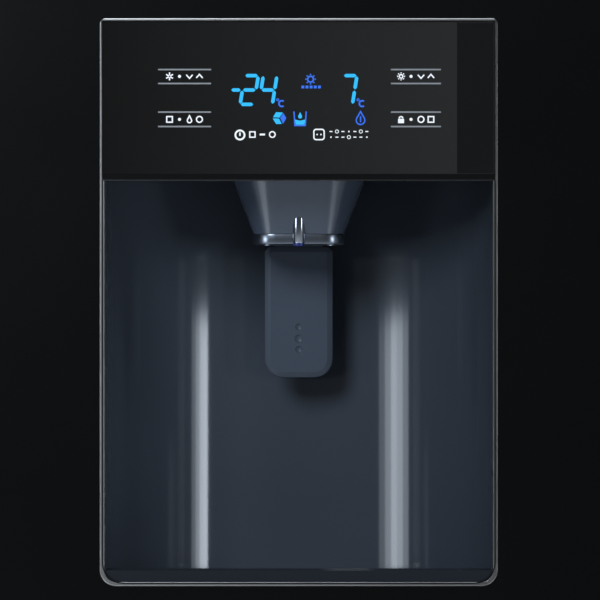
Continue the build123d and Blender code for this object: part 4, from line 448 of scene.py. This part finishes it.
def mark(shape, points, rise=0.0):
    """A filled sign on the pane, or so far in front of it."""
    for row in band(shape, [on_glass(points, -rise - FILM), on_glass(points, FILM - rise)]):
        shape.faces.new(row)


def line(shape, points, width, closed=False, rise=0.0):
    """A line of even width on the pane or in front of it, mitred at its corners."""
    spots = [Vector(point) for point in points]
    left = []
    right = []
    for here, spot in enumerate(spots):
        back = spots[here - 1] if closed or here else spot
        on = spots[(here + 1) % len(spots)] if closed or spot is not spots[-1] else spot
        along = ((spot - back).normalized() + (on - spot).normalized()).normalized()
        leg = (on - back).normalized() if back == spot or on == spot else (on - spot).normalized()
        across = Vector((-along.y, along.x)) * width / 2 / along.dot(leg)
        left.append(spot + across)
        right.append(spot - across)
    if closed:
        near = -rise - FILM
        far = FILM - rise
        loops = [on_glass(left, near), on_glass(right, near), on_glass(right, far), on_glass(left, far)]
        band(shape, loops, goes_round=True)
    else:
        mark(shape, left + right[::-1], rise)


def arc(right, up, radius, start, end, steps):
    """Points along a round stretch, from one angle to another."""
    turns = [math.radians(start + (end - start) * step / steps) for step in range(steps + 1)]
    return [(right + radius * math.cos(turn), up + radius * math.sin(turn)) for turn in turns]


def circle(right, up, radius, steps):
    """Points round a full circle."""
    return arc(right, up, radius, 0, 360, steps)[:-1]


DIGIT_BARS = {
    "2": (((0, 2), (1, 2)), ((1, 1), (1, 2)), ((0, 1), (1, 1)), ((0, 0), (0, 1)), ((0, 0), (1, 0))),
    "4": (((0, 1), (0, 2)), ((0, 1), (1, 1)), ((1, 1), (1, 2)), ((1, 0), (1, 1))),
    "7": (((0, 2), (1, 2)), ((1, 1), (1, 2)), ((1, 0), (1, 1))),
}
DIGIT_W = 8.2
DIGIT_H = 17.3
DIGIT_SLANT = 0.16
BAR_W = 2.1
BAR_GAP = 0.3
DIGIT_UP = 127.8


def lit_bar(shape, start, end):
    """One bar of a digit, pointed at its ends and held back there by a share of its half width."""
    along = (end - start).normalized() * BAR_W / 2
    across = Vector((-along.y, along.x))
    first = start + along * BAR_GAP
    last = end - along * BAR_GAP
    lower = [first + along - across, last - along - across]
    upper = [last - along + across, first + along + across]
    mark(shape, [first, *lower, last, *upper])


def digit(shape, sign, right):
    """A slanted figure made of bars."""
    for ends in DIGIT_BARS[sign]:
        spots = []
        for column, row in ends:
            rise = (row - 1) * DIGIT_H / 2
            spots.append(Vector((right + (column - 0.5) * DIGIT_W + DIGIT_SLANT * rise, DIGIT_UP + rise)))
        lit_bar(shape, *spots)


def placed(outline, middle):
    """An outline moved to a middle."""
    return [(middle[0] + right, middle[1] + up) for right, up in outline]


def drop(right, up, radius, tip, steps):
    """A water drop, round below and with its tip so far above the middle of the round."""
    return arc(right, up, radius, 150, 390, steps) + [(right, up + tip)]


DIGITS_AT = (("2", -29.8), ("4", -18.6), ("7", 29.6))
MINUS = (-41.0, -34.6)
lit = bmesh.new()
for sign, right in DIGITS_AT:
    digit(lit, sign, right)
lit_bar(lit, *(Vector((right, DIGIT_UP)) for right in MINUS))
CUBE_R = 4.1
CUBE_AT = Vector((-11.6, 110.9))
corners = [CUBE_AT + CUBE_R * Vector(spot) for spot in circle(0, 0, 1, 6)]
cube_top = [
    CUBE_AT + Vector((0, 0.3)),
    corners[1] - Vector((0, 0.2)),
    corners[2],
    corners[3] + Vector((0.2, 0.5)),
]
cube_left = [
    CUBE_AT - Vector((0.3, 0.3)),
    corners[3] - Vector((0, 0.2)),
    corners[4],
    corners[5] - Vector((0.7, 0)),
]
mark(lit, cube_top)
mark(lit, cube_left)
CUP_AT = (0.8, 110.9)
CUP_WATER = ((-3.1, -0.9), (-2.6, -4.0), (2.6, -4.0), (3.1, -0.9), (0, -1.6))
CUP_DROP_UP = 0.9
mark(lit, placed(CUP_WATER, CUP_AT))
mark(lit, drop(CUP_AT[0], CUP_AT[1] + CUP_DROP_UP, radius=1.2, tip=2.7, steps=8))
LIT_GLOW = (*shade(38, 190, 255), 1)
lit_film = finish(
    "lit figures", (4, 22, 40), roughness=0.4, grains=300, relief=0.0, Emission_Color=LIT_GLOW,
    Emission_Strength=1.0,
)
piece("display_figures", lit, lit_film, "freezer_door")

# Dim signs. The degree signs, the shaded side of the cube, the cup, the sun over its row of dashes and
# the filter drop. They are films like the lit figures, in a deeper blue.
def degrees_sign(shape, right, up):
    """A small ring and an open round letter for degrees."""
    line(shape, circle(right - 1.9, up + 2.3, 0.65, 10), 0.55, closed=True)
    line(shape, arc(right + 0.6, up, 1.75, 50, 310, 12), 0.95)


def rays(shape, middle, near, far, turns, width):
    """Short lines that stand out all round a middle, from one distance to another."""
    for turn in turns:
        line(shape, [arc(*middle, reach, turn, turn, 1)[0] for reach in (near, far)], width)


DEGREES_RIGHT = (-10.8, 37.6)
DEGREES_UP = 119.6
SIGN_W = 0.8
dim = bmesh.new()
for right in DEGREES_RIGHT:
    degrees_sign(dim, right, DEGREES_UP)
cube_right = [
    CUBE_AT + Vector((0.4, 0.1)),
    corners[5] + Vector((0.1, 0.1)),
    corners[0],
    corners[1] + Vector((0.2, -0.5)),
]
mark(dim, cube_right)
CUP_WALL = ((-3.7, 4.0), (-3.1, -4.5), (3.1, -4.5), (3.7, 4.0))
line(dim, placed(CUP_WALL, CUP_AT), SIGN_W)
SUN_AT = (7.1, 134.3)
SUN_R = 1.75
line(dim, circle(*SUN_AT, SUN_R, 16), 0.9, closed=True)
rays(dim, SUN_AT, near=2.4, far=3.2, turns=range(0, 360, 45), width=SIGN_W)
DASHES = 5
DASH_FROM = 1.6
DASH_PITCH = 2.5
DASH_UP = 129.6
DASH_SIDE = 1.7
for step in range(DASHES):
    start = DASH_FROM + DASH_PITCH * step
    line(dim, [(start, DASH_UP), (start + DASH_SIDE, DASH_UP)], DASH_SIDE)
FILTER_AT = (37.2, 109.6)
FILTER_LINE = ((0, 2.4), (0, -1.2))
line(dim, drop(*FILTER_AT, radius=2.6, tip=5.2, steps=12), SIGN_W, closed=True)
line(dim, placed(FILTER_LINE, FILTER_AT), SIGN_W)
DIM_GLOW = (*shade(48, 112, 240), 1)
dim_film = finish(
    "dim figures", (4, 12, 36), roughness=0.4, grains=300, relief=0.0, Emission_Color=DIM_GLOW,
    Emission_Strength=1.0,
)
piece("display_signs", dim, dim_film, "freezer_door")

# Key lines. One thin grey line above and one below each of the four keys.
# They are printed on the face of the pane.
KEY_LINES_UP = (140.1, 131.7, 114.5, 105.8)
KEY_LINES_ACROSS = ((-84.7, -52.8), (55.5, 85.6))
KEY_LINE_W = 0.9
keys = bmesh.new()
for up in KEY_LINES_UP:
    for start, end in KEY_LINES_ACROSS:
        line(keys, [(start, up), (end, up)], KEY_LINE_W)
key_grey = finish("grey print", (128, 129, 131), roughness=0.5, grains=900, relief=0.0)
piece("panel_key_lines", keys, key_grey, "freezer_door")

# Printed signs. Plain pictograms between the key lines, a power sign and a dial sign below the display.
# They are white print on the face of the pane, faintly lit from behind.
def rounded(half_x, half_y, radius, steps):
    """A rectangle with round corners about its own middle, with so many steps to a corner."""
    points = []
    for quarter, (side, level) in enumerate(((1, 1), (-1, 1), (-1, -1), (1, -1))):
        middle = (side * (half_x - radius), level * (half_y - radius))
        points += arc(*middle, radius, 90 * quarter, 90 * quarter + 90, steps)
    return points


def pictogram(shape, sign, right, up, size):
    """One plain sign within a square of a size."""
    half = size / 2
    thin = size / 6

    def at(*pairs):
        """Points given as shares of half the size."""
        return [(right + a * half, up + b * half) for a, b in pairs]

    if sign == "flake":
        rays(shape, (right, up), 0.2 * half, half, range(30, 390, 60), thin)
    elif sign == "sun":
        line(shape, circle(right, up, 0.45 * half, 12), thin, closed=True)
        rays(shape, (right, up), 0.75 * half, half, range(0, 360, 45), thin)
    elif sign == "lock":
        mark(shape, at((-0.75, -0.95), (0.75, -0.95), (0.75, 0.15), (-0.75, 0.15)))
        line(shape, arc(right, up + 0.25 * half, 0.45 * half, 0, 180, 8), thin)
    elif sign == "up":
        line(shape, at((-0.8, -0.4), (0, 0.5), (0.8, -0.4)), thin)
    elif sign == "down":
        line(shape, at((-0.8, 0.4), (0, -0.5), (0.8, 0.4)), thin)
    elif sign == "drop":
        line(shape, drop(right, up - 0.3 * half, 0.55 * half, 1.2 * half, 10), thin, closed=True)
    elif sign == "cube":
        line(shape, at((-0.7, -0.7), (0.7, -0.7), (0.7, 0.7), (-0.7, 0.7)), thin, closed=True)
    elif sign == "ring":
        line(shape, circle(right, up, 0.75 * half, 14), thin, closed=True)
    elif sign == "dash":
        mark(shape, at((-0.7, -0.25), (0.7, -0.25), (0.7, 0.25), (-0.7, 0.25)))
    else:
        mark(shape, circle(right, up, 0.4 * half, 10))


def sign_row(shape, signs, right, up, size, pitch):
    """Signs side by side about a middle."""
    for place, sign in enumerate(signs):
        pictogram(shape, sign, right + (place - (len(signs) - 1) / 2) * pitch, up, size)


KEYS_LEFT = -68.8
KEYS_RIGHT = 70.6
KEYS_HIGH = 136.0
KEYS_LOW = 110.1
KEY_SIGNS = (
    (("flake", "dot", "down", "up"), KEYS_LEFT, KEYS_HIGH),
    (("sun", "dot", "down", "up"), KEYS_RIGHT, KEYS_HIGH),
    (("cube", "dot", "drop", "ring"), KEYS_LEFT, KEYS_LOW),
    (("lock", "dot", "ring", "cube"), KEYS_RIGHT, KEYS_LOW),
)
prints = bmesh.new()
for signs, right, up in KEY_SIGNS:
    sign_row(prints, signs, right, up, size=4.8, pitch=6.0)
POWER_AT = (-35.4, 100.7)
POWER_R = 2.75
POWER_BAR = ((0, -0.6), (0, 1.5))
line(prints, circle(*POWER_AT, POWER_R, 20), 1.1, closed=True)
line(prints, placed(POWER_BAR, POWER_AT), 0.9)
sign_row(prints, ("cube", "dash", "ring"), -21.9, 101.0, size=4.6, pitch=6.0)
DIAL_AT = (12.2, 101.0)
DIAL_HALF = 3.1
DIAL_R = 1.4
line(prints, placed(rounded(DIAL_HALF, DIAL_HALF, DIAL_R, 4), DIAL_AT), SIGN_W, closed=True)
sign_row(prints, ("dot", "dot"), *DIAL_AT, size=2.4, pitch=2.3)
ROWS_RIGHT = 30.2
DIAL_ROWS = (
    (("dash", "ring", "dash", "dot", "dash", "ring", "dash"), 102.8),
    (("dot", "dash", "dash", "ring", "dash", "dash", "dot"), 99.4),
)
for signs, up in DIAL_ROWS:
    sign_row(prints, signs, ROWS_RIGHT, up, size=2.6, pitch=3.6)
PRINT_GLOW = (*shade(190, 191, 193), 1)
print_white = finish(
    "white print", (190, 191, 192), roughness=0.5, grains=900, relief=0.0,
    Emission_Color=PRINT_GLOW, Emission_Strength=0.7,
)
piece("panel_signs", prints, print_white, "freezer_door")

# Panel surround. A black plastic seal pressed in round the pane, and a black film of painted shade on the
# lip over the recess, with a grey line of painted highlight along its edge. A darker film of painted
# reflection covers the pane's right end, and a dark groove runs along the frame where the recess meets it.
PANE_LOW = 76.6
PANE_HIGH = 169.4
PANE_HALF = 118.4
seal_and_shade_black = finish(
    "black seal and painted shade", (4, 4, 4), roughness=0.6, grains=900, relief=0.0, Specular_IOR_Level=0.08,
)
surround = bmesh.new()
pane_edge = [(-PANE_HALF, PANE_LOW), (PANE_HALF, PANE_LOW), (PANE_HALF, PANE_HIGH), (-PANE_HALF, PANE_HIGH)]
SEAL_W = 1.2
SEAL_RISE = 0.05
line(surround, pane_edge, SEAL_W, closed=True, rise=SEAL_RISE)
# Painted shade: a black film over the lip under the pane.
LIP_UP = 75.3
LIP_H = 2.9
FACE_RISE = 0.45
line(surround, [(-PANE_HALF, LIP_UP), (PANE_HALF, LIP_UP)], LIP_H, rise=FACE_RISE)
GROOVE_HALF = 118.2
GROOVE_FOOT = -169.2
GROOVE_R = 12.6
GROOVE_W = 0.7
GROOVE_TOP = LIP_UP - 2
left_foot = arc(GROOVE_R - GROOVE_HALF, GROOVE_FOOT + GROOVE_R, GROOVE_R, 180, 270, 8)
right_foot = arc(GROOVE_HALF - GROOVE_R, GROOVE_FOOT + GROOVE_R, GROOVE_R, 270, 360, 8)
groove = [(-GROOVE_HALF, GROOVE_TOP)] + left_foot + right_foot + [(GROOVE_HALF, GROOVE_TOP)]
line(surround, groove, GROOVE_W, rise=FACE_RISE)
piece("panel_surround", surround, seal_and_shade_black, "freezer_door")
# Painted highlight: a thin grey line along the lip's lower edge.
HIGHLIGHT_UP = LIP_UP - 1.75
HIGHLIGHT_W = 0.6
lip_highlight = bmesh.new()
line(lip_highlight, [(-PANE_HALF, HIGHLIGHT_UP), (PANE_HALF, HIGHLIGHT_UP)], HIGHLIGHT_W, rise=FACE_RISE)
lip_highlight_grey = finish("lip highlight", (40, 38, 37), roughness=0.4, grains=900, relief=0.0, Metallic=0.5)
piece("recess_lip_highlight", lip_highlight, lip_highlight_grey, "freezer_door")
# Painted reflection: a darker film over the pane's right end.
END_FROM = 95.3
END_TO = PANE_HALF - 1
END_LOW = PANE_LOW + 1
END_HIGH = PANE_HIGH - 1
painted_reflection_zone = bmesh.new()
mark(painted_reflection_zone, [(END_FROM, END_LOW), (END_TO, END_LOW), (END_TO, END_HIGH), (END_FROM, END_HIGH)])
painted_reflection_film = finish("painted reflection end", (17, 17, 17.5), roughness=0.06, grains=120, relief=0.0)
piece("panel_painted_reflection", painted_reflection_zone, painted_reflection_film, "freezer_door")

# Recess and ice chute. Glossy blue-grey mouldings screwed together from behind, with the flap and the
# switch hidden in the ice way. The recess's walls catch light as if they leaned back with their draft.
def draft(material, degrees):
    """Let a moulding's upright walls shade as if their feet stood forward by a draft angle."""
    tree = material.node_tree
    place = tree.nodes.new("ShaderNodeTexCoord")
    split = tree.nodes.new("ShaderNodeSeparateXYZ")
    lean = tree.nodes.new("ShaderNodeMath")
    lean.operation = "MULTIPLY"
    lean.inputs[1].default_value = -math.tan(math.radians(degrees))
    bump = tree.nodes.new("ShaderNodeBump")
    bump.inputs["Strength"].default_value = 1.0
    bump.inputs["Distance"].default_value = 1.0
    tree.links.new(place.outputs["Object"], split.inputs[0])
    tree.links.new(split.outputs["Z"], lean.inputs[0])
    tree.links.new(lean.outputs[0], bump.inputs["Height"])
    tree.links.new(bump.outputs["Normal"], tree.nodes["Bump"].inputs["Normal"])


recess_plastic = finish(
    "blue grey moulding", (77, 84, 94), roughness=0.07, grains=700, relief=0.001, mottle=0.04,
    spread=0.01, Specular_IOR_Level=0.45,
)
# Painted shade: the moulding is painted darker towards the recess's right side.
paint_light_across(recess_plastic, left_share=0.85, right_share=0.33)
draft(recess_plastic, degrees=2.4)
chute_plastic = finish(
    "chute moulding", (62, 70, 83), roughness=0.2, grains=700, relief=0.002, mottle=0.04,
    spread=0.03,
)
dress("dispenser_housing", recess_plastic)
dress("ice_chute", chute_plastic)
dress("ice_flap", white_moulding, ease=0.4)
dress("paddle_switch", black_moulding, ease=0.3)

# Collar. A thin ring with a satin plated finish, rounded at its edges.
# It is snapped over the mouth of the ice chute.
satin_plate = finish(
    "satin plate", (140, 147, 158), roughness=0.26, grains=300, relief=0.0004, mottle=0.01,
    spread=0.02, Metallic=1.0,
)
CHUTE_Y = -297.0
COLLAR_W = 55.8
COLLAR_D = 35.6
COLLAR_R = 13.8
COLLAR_RING = (
    (-1.2, 6.1),
    (0.2, 6.1),
    (0.5, 5.8),
    (0.6, 5.2),
    (0.6, 0.8),
    (0.4, 0.1),
    (-0.1, -0.3),
    (-1.2, -0.4),
)
chute_mouth = MM_PER_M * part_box("ice_chute")[0][2]
collar = bmesh.new()
collar_loops = []
for grow, height in COLLAR_RING:
    plan = rounded(COLLAR_W / 2 + grow, COLLAR_D / 2 + grow, COLLAR_R + grow, 10)
    collar_loops.append([(dispenser_x + x, CHUTE_Y + y, chute_mouth + height) for x, y in plan])
band(collar, collar_loops, goes_round=True)
piece("chute_collar", collar, satin_plate, "freezer_door")

# Water nozzle. A chromed tube let into the front of the chute,
# with a dark blue moulded tip pressed into its end.
chrome = finish(
    "chrome plate", (172, 177, 186), roughness=0.16, grains=300, relief=0.0004, mottle=0.01,
    spread=0.02, Metallic=1.0,
)
nozzle_low, nozzle_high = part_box("water_nozzle")
nozzle_y = MM_PER_M * (nozzle_low[1] + nozzle_high[1]) / 2
nozzle_r = MM_PER_M * (nozzle_high[0] - nozzle_low[0]) / 2
nozzle_tip = MM_PER_M * nozzle_low[2]
nozzle_top = MM_PER_M * nozzle_high[2]


def turned(shape, profile, goes_round=False):
    """A turned form about the nozzle's axis, from its radii and heights above the tip."""
    loops = []
    for radius, height in profile:
        loops.append([(x, y, nozzle_tip + height) for x, y in circle(dispenser_x, nozzle_y, radius, 40)])
    return band(shape, loops, goes_round)


BORE_R = 2.4
BORE_TOP = 8.8
TUBE_FOOT = 1.9
tube_profile = (
    (BORE_R, BORE_TOP),
    (BORE_R, TUBE_FOOT),
    (nozzle_r - 0.2, TUBE_FOOT),
    (nozzle_r, TUBE_FOOT + 0.4),
    (nozzle_r, nozzle_top - nozzle_tip),
)
tube = bmesh.new()
tube_rows = turned(tube, tube_profile)
tube.faces.new(tube_rows[0])
tube.faces.new(tube_rows[-1])
dress("water_nozzle", chrome)
nozzle = piece("nozzle_tube", tube, chrome, "freezer_door")
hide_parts("water_nozzle")
TIP_PROFILE = ((2.3, 2.1), (2.3, 0.4), (2.6, 0.0), (3.2, 0.0), (3.5, 0.4), (3.5, 2.1))
tip = bmesh.new()
turned(tip, TIP_PROFILE, goes_round=True)
tip_plastic = finish("tip moulding", (24, 40, 104), roughness=0.3, grains=900, relief=0.002)
piece("nozzle_tip", tip, tip_plastic, "freezer_door")

# Paddle. A matt moulded plate with a bevelled border and three thumb dimples, on an eye and a pin that
# turn in the recess's ears.
paddle_plastic = finish(
    "paddle moulding", (60, 67, 78), roughness=0.42, grains=1500, relief=0.006, mottle=0.04,
    spread=0.03, Specular_IOR_Level=0.22,
)
paddle_low, paddle_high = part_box("paddle")
paddle_half = MM_PER_M * (paddle_high[0] - paddle_low[0]) / 2
paddle_front = MM_PER_M * paddle_low[1]
paddle_foot = MM_PER_M * paddle_low[2]
PADDLE_H = 82.0
PADDLE_T = 4.0
PADDLE_R = 12.0
PADDLE_CUT = 3.0
PADDLE_SHARP = math.radians(18)
PADDLE_BORDER = ((0.0, 0.0), (0.0, 2.0), (0.3, 2.5), (3.2, 3.85), (3.6, 4.0))
DIMPLES = ((17.6, 2.2), (24.3, 2.6), (31.7, 2.2))
DIMPLE_STEPS = ((1.0, 0.0), (0.9, 0.25), (0.7, 0.6), (0.4, 0.85), (0.15, 0.95))
EYE_HALF = 15.0
EYE_R = 4.0
EYE_DROP = 8.0
PIN_HALF = 18.3
PIN_R = 2.0
hinge = next(joint for joint in frame["joints"] if joint["name"] == "paddle_push")
pivot = [MM_PER_M * place for place in hinge["pos_m"][1:]]


def paddle_outline(inset):
    """The plate's outline drawn in by so much, round at the foot and cut at the top corners."""
    half = paddle_half - inset
    radius = PADDLE_R - inset
    foot = paddle_foot + inset
    top = paddle_foot + PADDLE_H - inset
    cut = PADDLE_CUT - inset * (2 - math.sqrt(2))
    left_end = arc(radius - half, foot + radius, radius, 180, 270, 8)
    right_end = arc(half - radius, foot + radius, radius, 270, 360, 8)
    top_end = [(half, top - cut), (half - cut, top), (cut - half, top), (-half, top - cut)]
    return left_end + right_end + top_end


def rim_edges(shape, row):
    """The edges round a row of points."""
    return [shape.edges.get((row[here - 1], row[here])) for here in range(len(row))]


plate = bmesh.new()
plate_loops = []
for inset, height in PADDLE_BORDER:
    y = paddle_front + PADDLE_T - height
    plate_loops.append([(dispenser_x + x, y, z) for x, z in paddle_outline(inset)])
plate_rows = band(plate, plate_loops)
plate.faces.new(plate_rows[0])
face_edges = rim_edges(plate, plate_rows[-1])
for up, radius in DIMPLES:
    dimple_loops = []
    for share, depth in DIMPLE_STEPS:
        around = circle(dispenser_x, paddle_foot + up, radius * share, 20)
        dimple_loops.append([(x, paddle_front + depth, z) for x, z in around])
    dimple_rows = band(plate, dimple_loops)
    plate.faces.new(dimple_rows[-1])
    face_edges += rim_edges(plate, dimple_rows[0])
bmesh.ops.triangle_fill(plate, use_beauty=True, edges=face_edges)
eye_root = paddle_front + PADDLE_T / 2
eye_plan = arc(*pivot, EYE_R, -90, 90, 10)
eye_plan += [(eye_root, pivot[1] + EYE_R), (eye_root, pivot[1] - EYE_DROP)]
pin_plan = circle(*pivot, PIN_R, 20)
for plan, half in ((eye_plan, EYE_HALF), (pin_plan, PIN_HALF)):
    ends = band(plate, [[(dispenser_x + side, y, z) for y, z in plan] for side in (-half, half)])
    for end in ends:
        plate.faces.new(end)
dress("paddle", paddle_plastic)
paddle = piece("paddle_plate", plate, paddle_plastic, "paddle", sharp=PADDLE_SHARP)
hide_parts("paddle")

# Drip tray and grille. Dark moulded tray that lifts out of the sunk floor, with a slotted grille in it.
# They are kept out of mirror images, so that the long highlights of the recess run down to them.
tray_plastic = finish(
    "tray moulding", (21, 24, 30), roughness=0.5, grains=1300, relief=0.006,
    Specular_IOR_Level=0.15,
)
dress("drip_tray", tray_plastic, ease=0.4).visible_glossy = False
dress("drip_grille", tray_plastic, ease=0.3).visible_glossy = False

# Studio. A pale floor under a dim grey surround. Upright strip lights on both sides give the long
# highlights in the recess, and two low ones the bands on the funnel. Soft lights from high on the
# left, from above and from behind light the rest.
FLOOR = 30.0
floor_mesh = bpy.data.meshes.new("studio_floor")
floor_corners = [(-FLOOR, -FLOOR, 0), (FLOOR, -FLOOR, 0), (FLOOR, FLOOR, 0), (-FLOOR, FLOOR, 0)]
floor_mesh.from_pydata(floor_corners, [], [(0, 1, 2, 3)])
floor_paint = finish("pale floor", (205, 205, 203), roughness=0.8, grains=40, relief=0.02, mottle=0.01)
floor_mesh.materials.append(floor_paint)
floor = bpy.data.objects.new("studio_floor", floor_mesh)
bpy.context.scene.collection.objects.link(floor)

world = bpy.data.worlds.new("studio surround")
world.use_nodes = True
surround_light = world.node_tree.nodes["Background"]
surround_light.inputs["Color"].default_value = (0.085, 0.086, 0.088, 1.0)
surround_light.inputs["Strength"].default_value = 1.0
bpy.context.scene.world = world

DISPENSER = Vector((dispenser_x / MM_PER_M, frame_high[1], dispenser_z / MM_PER_M))
LIGHT_TINT = (0.8, 0.89, 1.0)


def soft_light(name, place, aim, width, height, radiance):
    """A rectangular soft light aimed at a point, given by how bright its face looks."""
    lamp = bpy.data.lights.new(name, "AREA")
    lamp.shape = "RECTANGLE"
    lamp.size = width
    lamp.size_y = height
    lamp.energy = radiance * width * height * math.pi
    lamp.color = LIGHT_TINT
    light = bpy.data.objects.new(name, lamp)
    light.location = place
    light.rotation_euler = (Vector(aim) - Vector(place)).to_track_quat("-Z", "Y").to_euler()
    light.visible_camera = False
    bpy.context.scene.collection.objects.link(light)
    return light


def strip_place(angle, away, height):
    """A point at an angle to the right of the dispenser's axis, so far in front of it."""
    turn = math.radians(angle)
    return (DISPENSER.x + away * math.sin(turn), DISPENSER.y - away * math.cos(turn), height)


LIGHT_AWAY = 2.6
LIGHT_TOP = 1.32
LIGHT_H = 0.55


def strip(name, start, end, radiance):
    """One upright strip light between two angles, lit by how bright its face looks."""
    middle = strip_place((start + end) / 2, LIGHT_AWAY, LIGHT_TOP - LIGHT_H / 2)
    aim = (DISPENSER.x, DISPENSER.y, LIGHT_TOP - LIGHT_H / 2)
    width = LIGHT_AWAY * math.radians(abs(end - start))
    soft_light(name, middle, aim, width, LIGHT_H, radiance)


RIGHT_FROM = 51.6
RIGHT_STEP = 2.5
RIGHT_GLOWS = (13.5, 12.0, 6.0, 2.4)
LEFT_FROM = -45.2
LEFT_STEP = -3.6
LEFT_GLOWS = (2.0, 5.4, 10.0, 7.8, 4.0)
for step, radiance in enumerate(RIGHT_GLOWS):
    start = RIGHT_FROM + RIGHT_STEP * step
    strip(f"right_strip_{step}", start, start + RIGHT_STEP, radiance)
for step, radiance in enumerate(LEFT_GLOWS):
    start = LEFT_FROM + LEFT_STEP * step
    strip(f"left_strip_{step}", start, start + LEFT_STEP, radiance)
soft_light("overhead", (0.0, -0.6, 4.6), (0.0, 0.0, 0.0), width=3.0, height=3.0, radiance=5.5)
KEY_AT = strip_place(-28.0, LIGHT_AWAY, 2.6)
KEY_AIM = (DISPENSER.x, DISPENSER.y, 1.06)
soft_light("key", KEY_AT, KEY_AIM, width=1.1, height=1.1, radiance=20.5)
FUNNEL = (DISPENSER.x, DISPENSER.y, 1.2)
low_left = soft_light("low_left", (-1.1, -1.1, 0.1), FUNNEL, width=0.5, height=0.5, radiance=3.0)
low_right = soft_light("low_right", (0.55, -1.1, 0.1), FUNNEL, width=0.4, height=0.4, radiance=2.5)
for light in (low_left, low_right):
    light.visible_diffuse = False
soft_light("back", (0.8, 3.3, 2.2), (0.0, 0.35, 0.9), width=2.0, height=2.0, radiance=5.0)

# Camera. Straight in front of the dispenser and some way off, as the photograph was taken,
# with the width that the photograph shows at the face of the door.
VIEW_WIDTH = 0.3612
VIEW_RIGHT = 0.00075
VIEW_UP = 0.00135
STAND_OFF = 2.005
SENSOR_WIDTH = 36.0
camera_data = bpy.data.cameras.new("camera")
camera_data.sensor_width = SENSOR_WIDTH
camera_data.lens = SENSOR_WIDTH * STAND_OFF / VIEW_WIDTH
camera = bpy.data.objects.new("camera", camera_data)
camera.location = (DISPENSER.x + VIEW_RIGHT, frame_low[1] - STAND_OFF, DISPENSER.z + VIEW_UP)
camera.rotation_euler = (math.radians(90), 0, 0)
bpy.context.scene.collection.objects.link(camera)
bpy.context.scene.camera = camera
bpy.context.scene.view_settings.view_transform = "Standard"
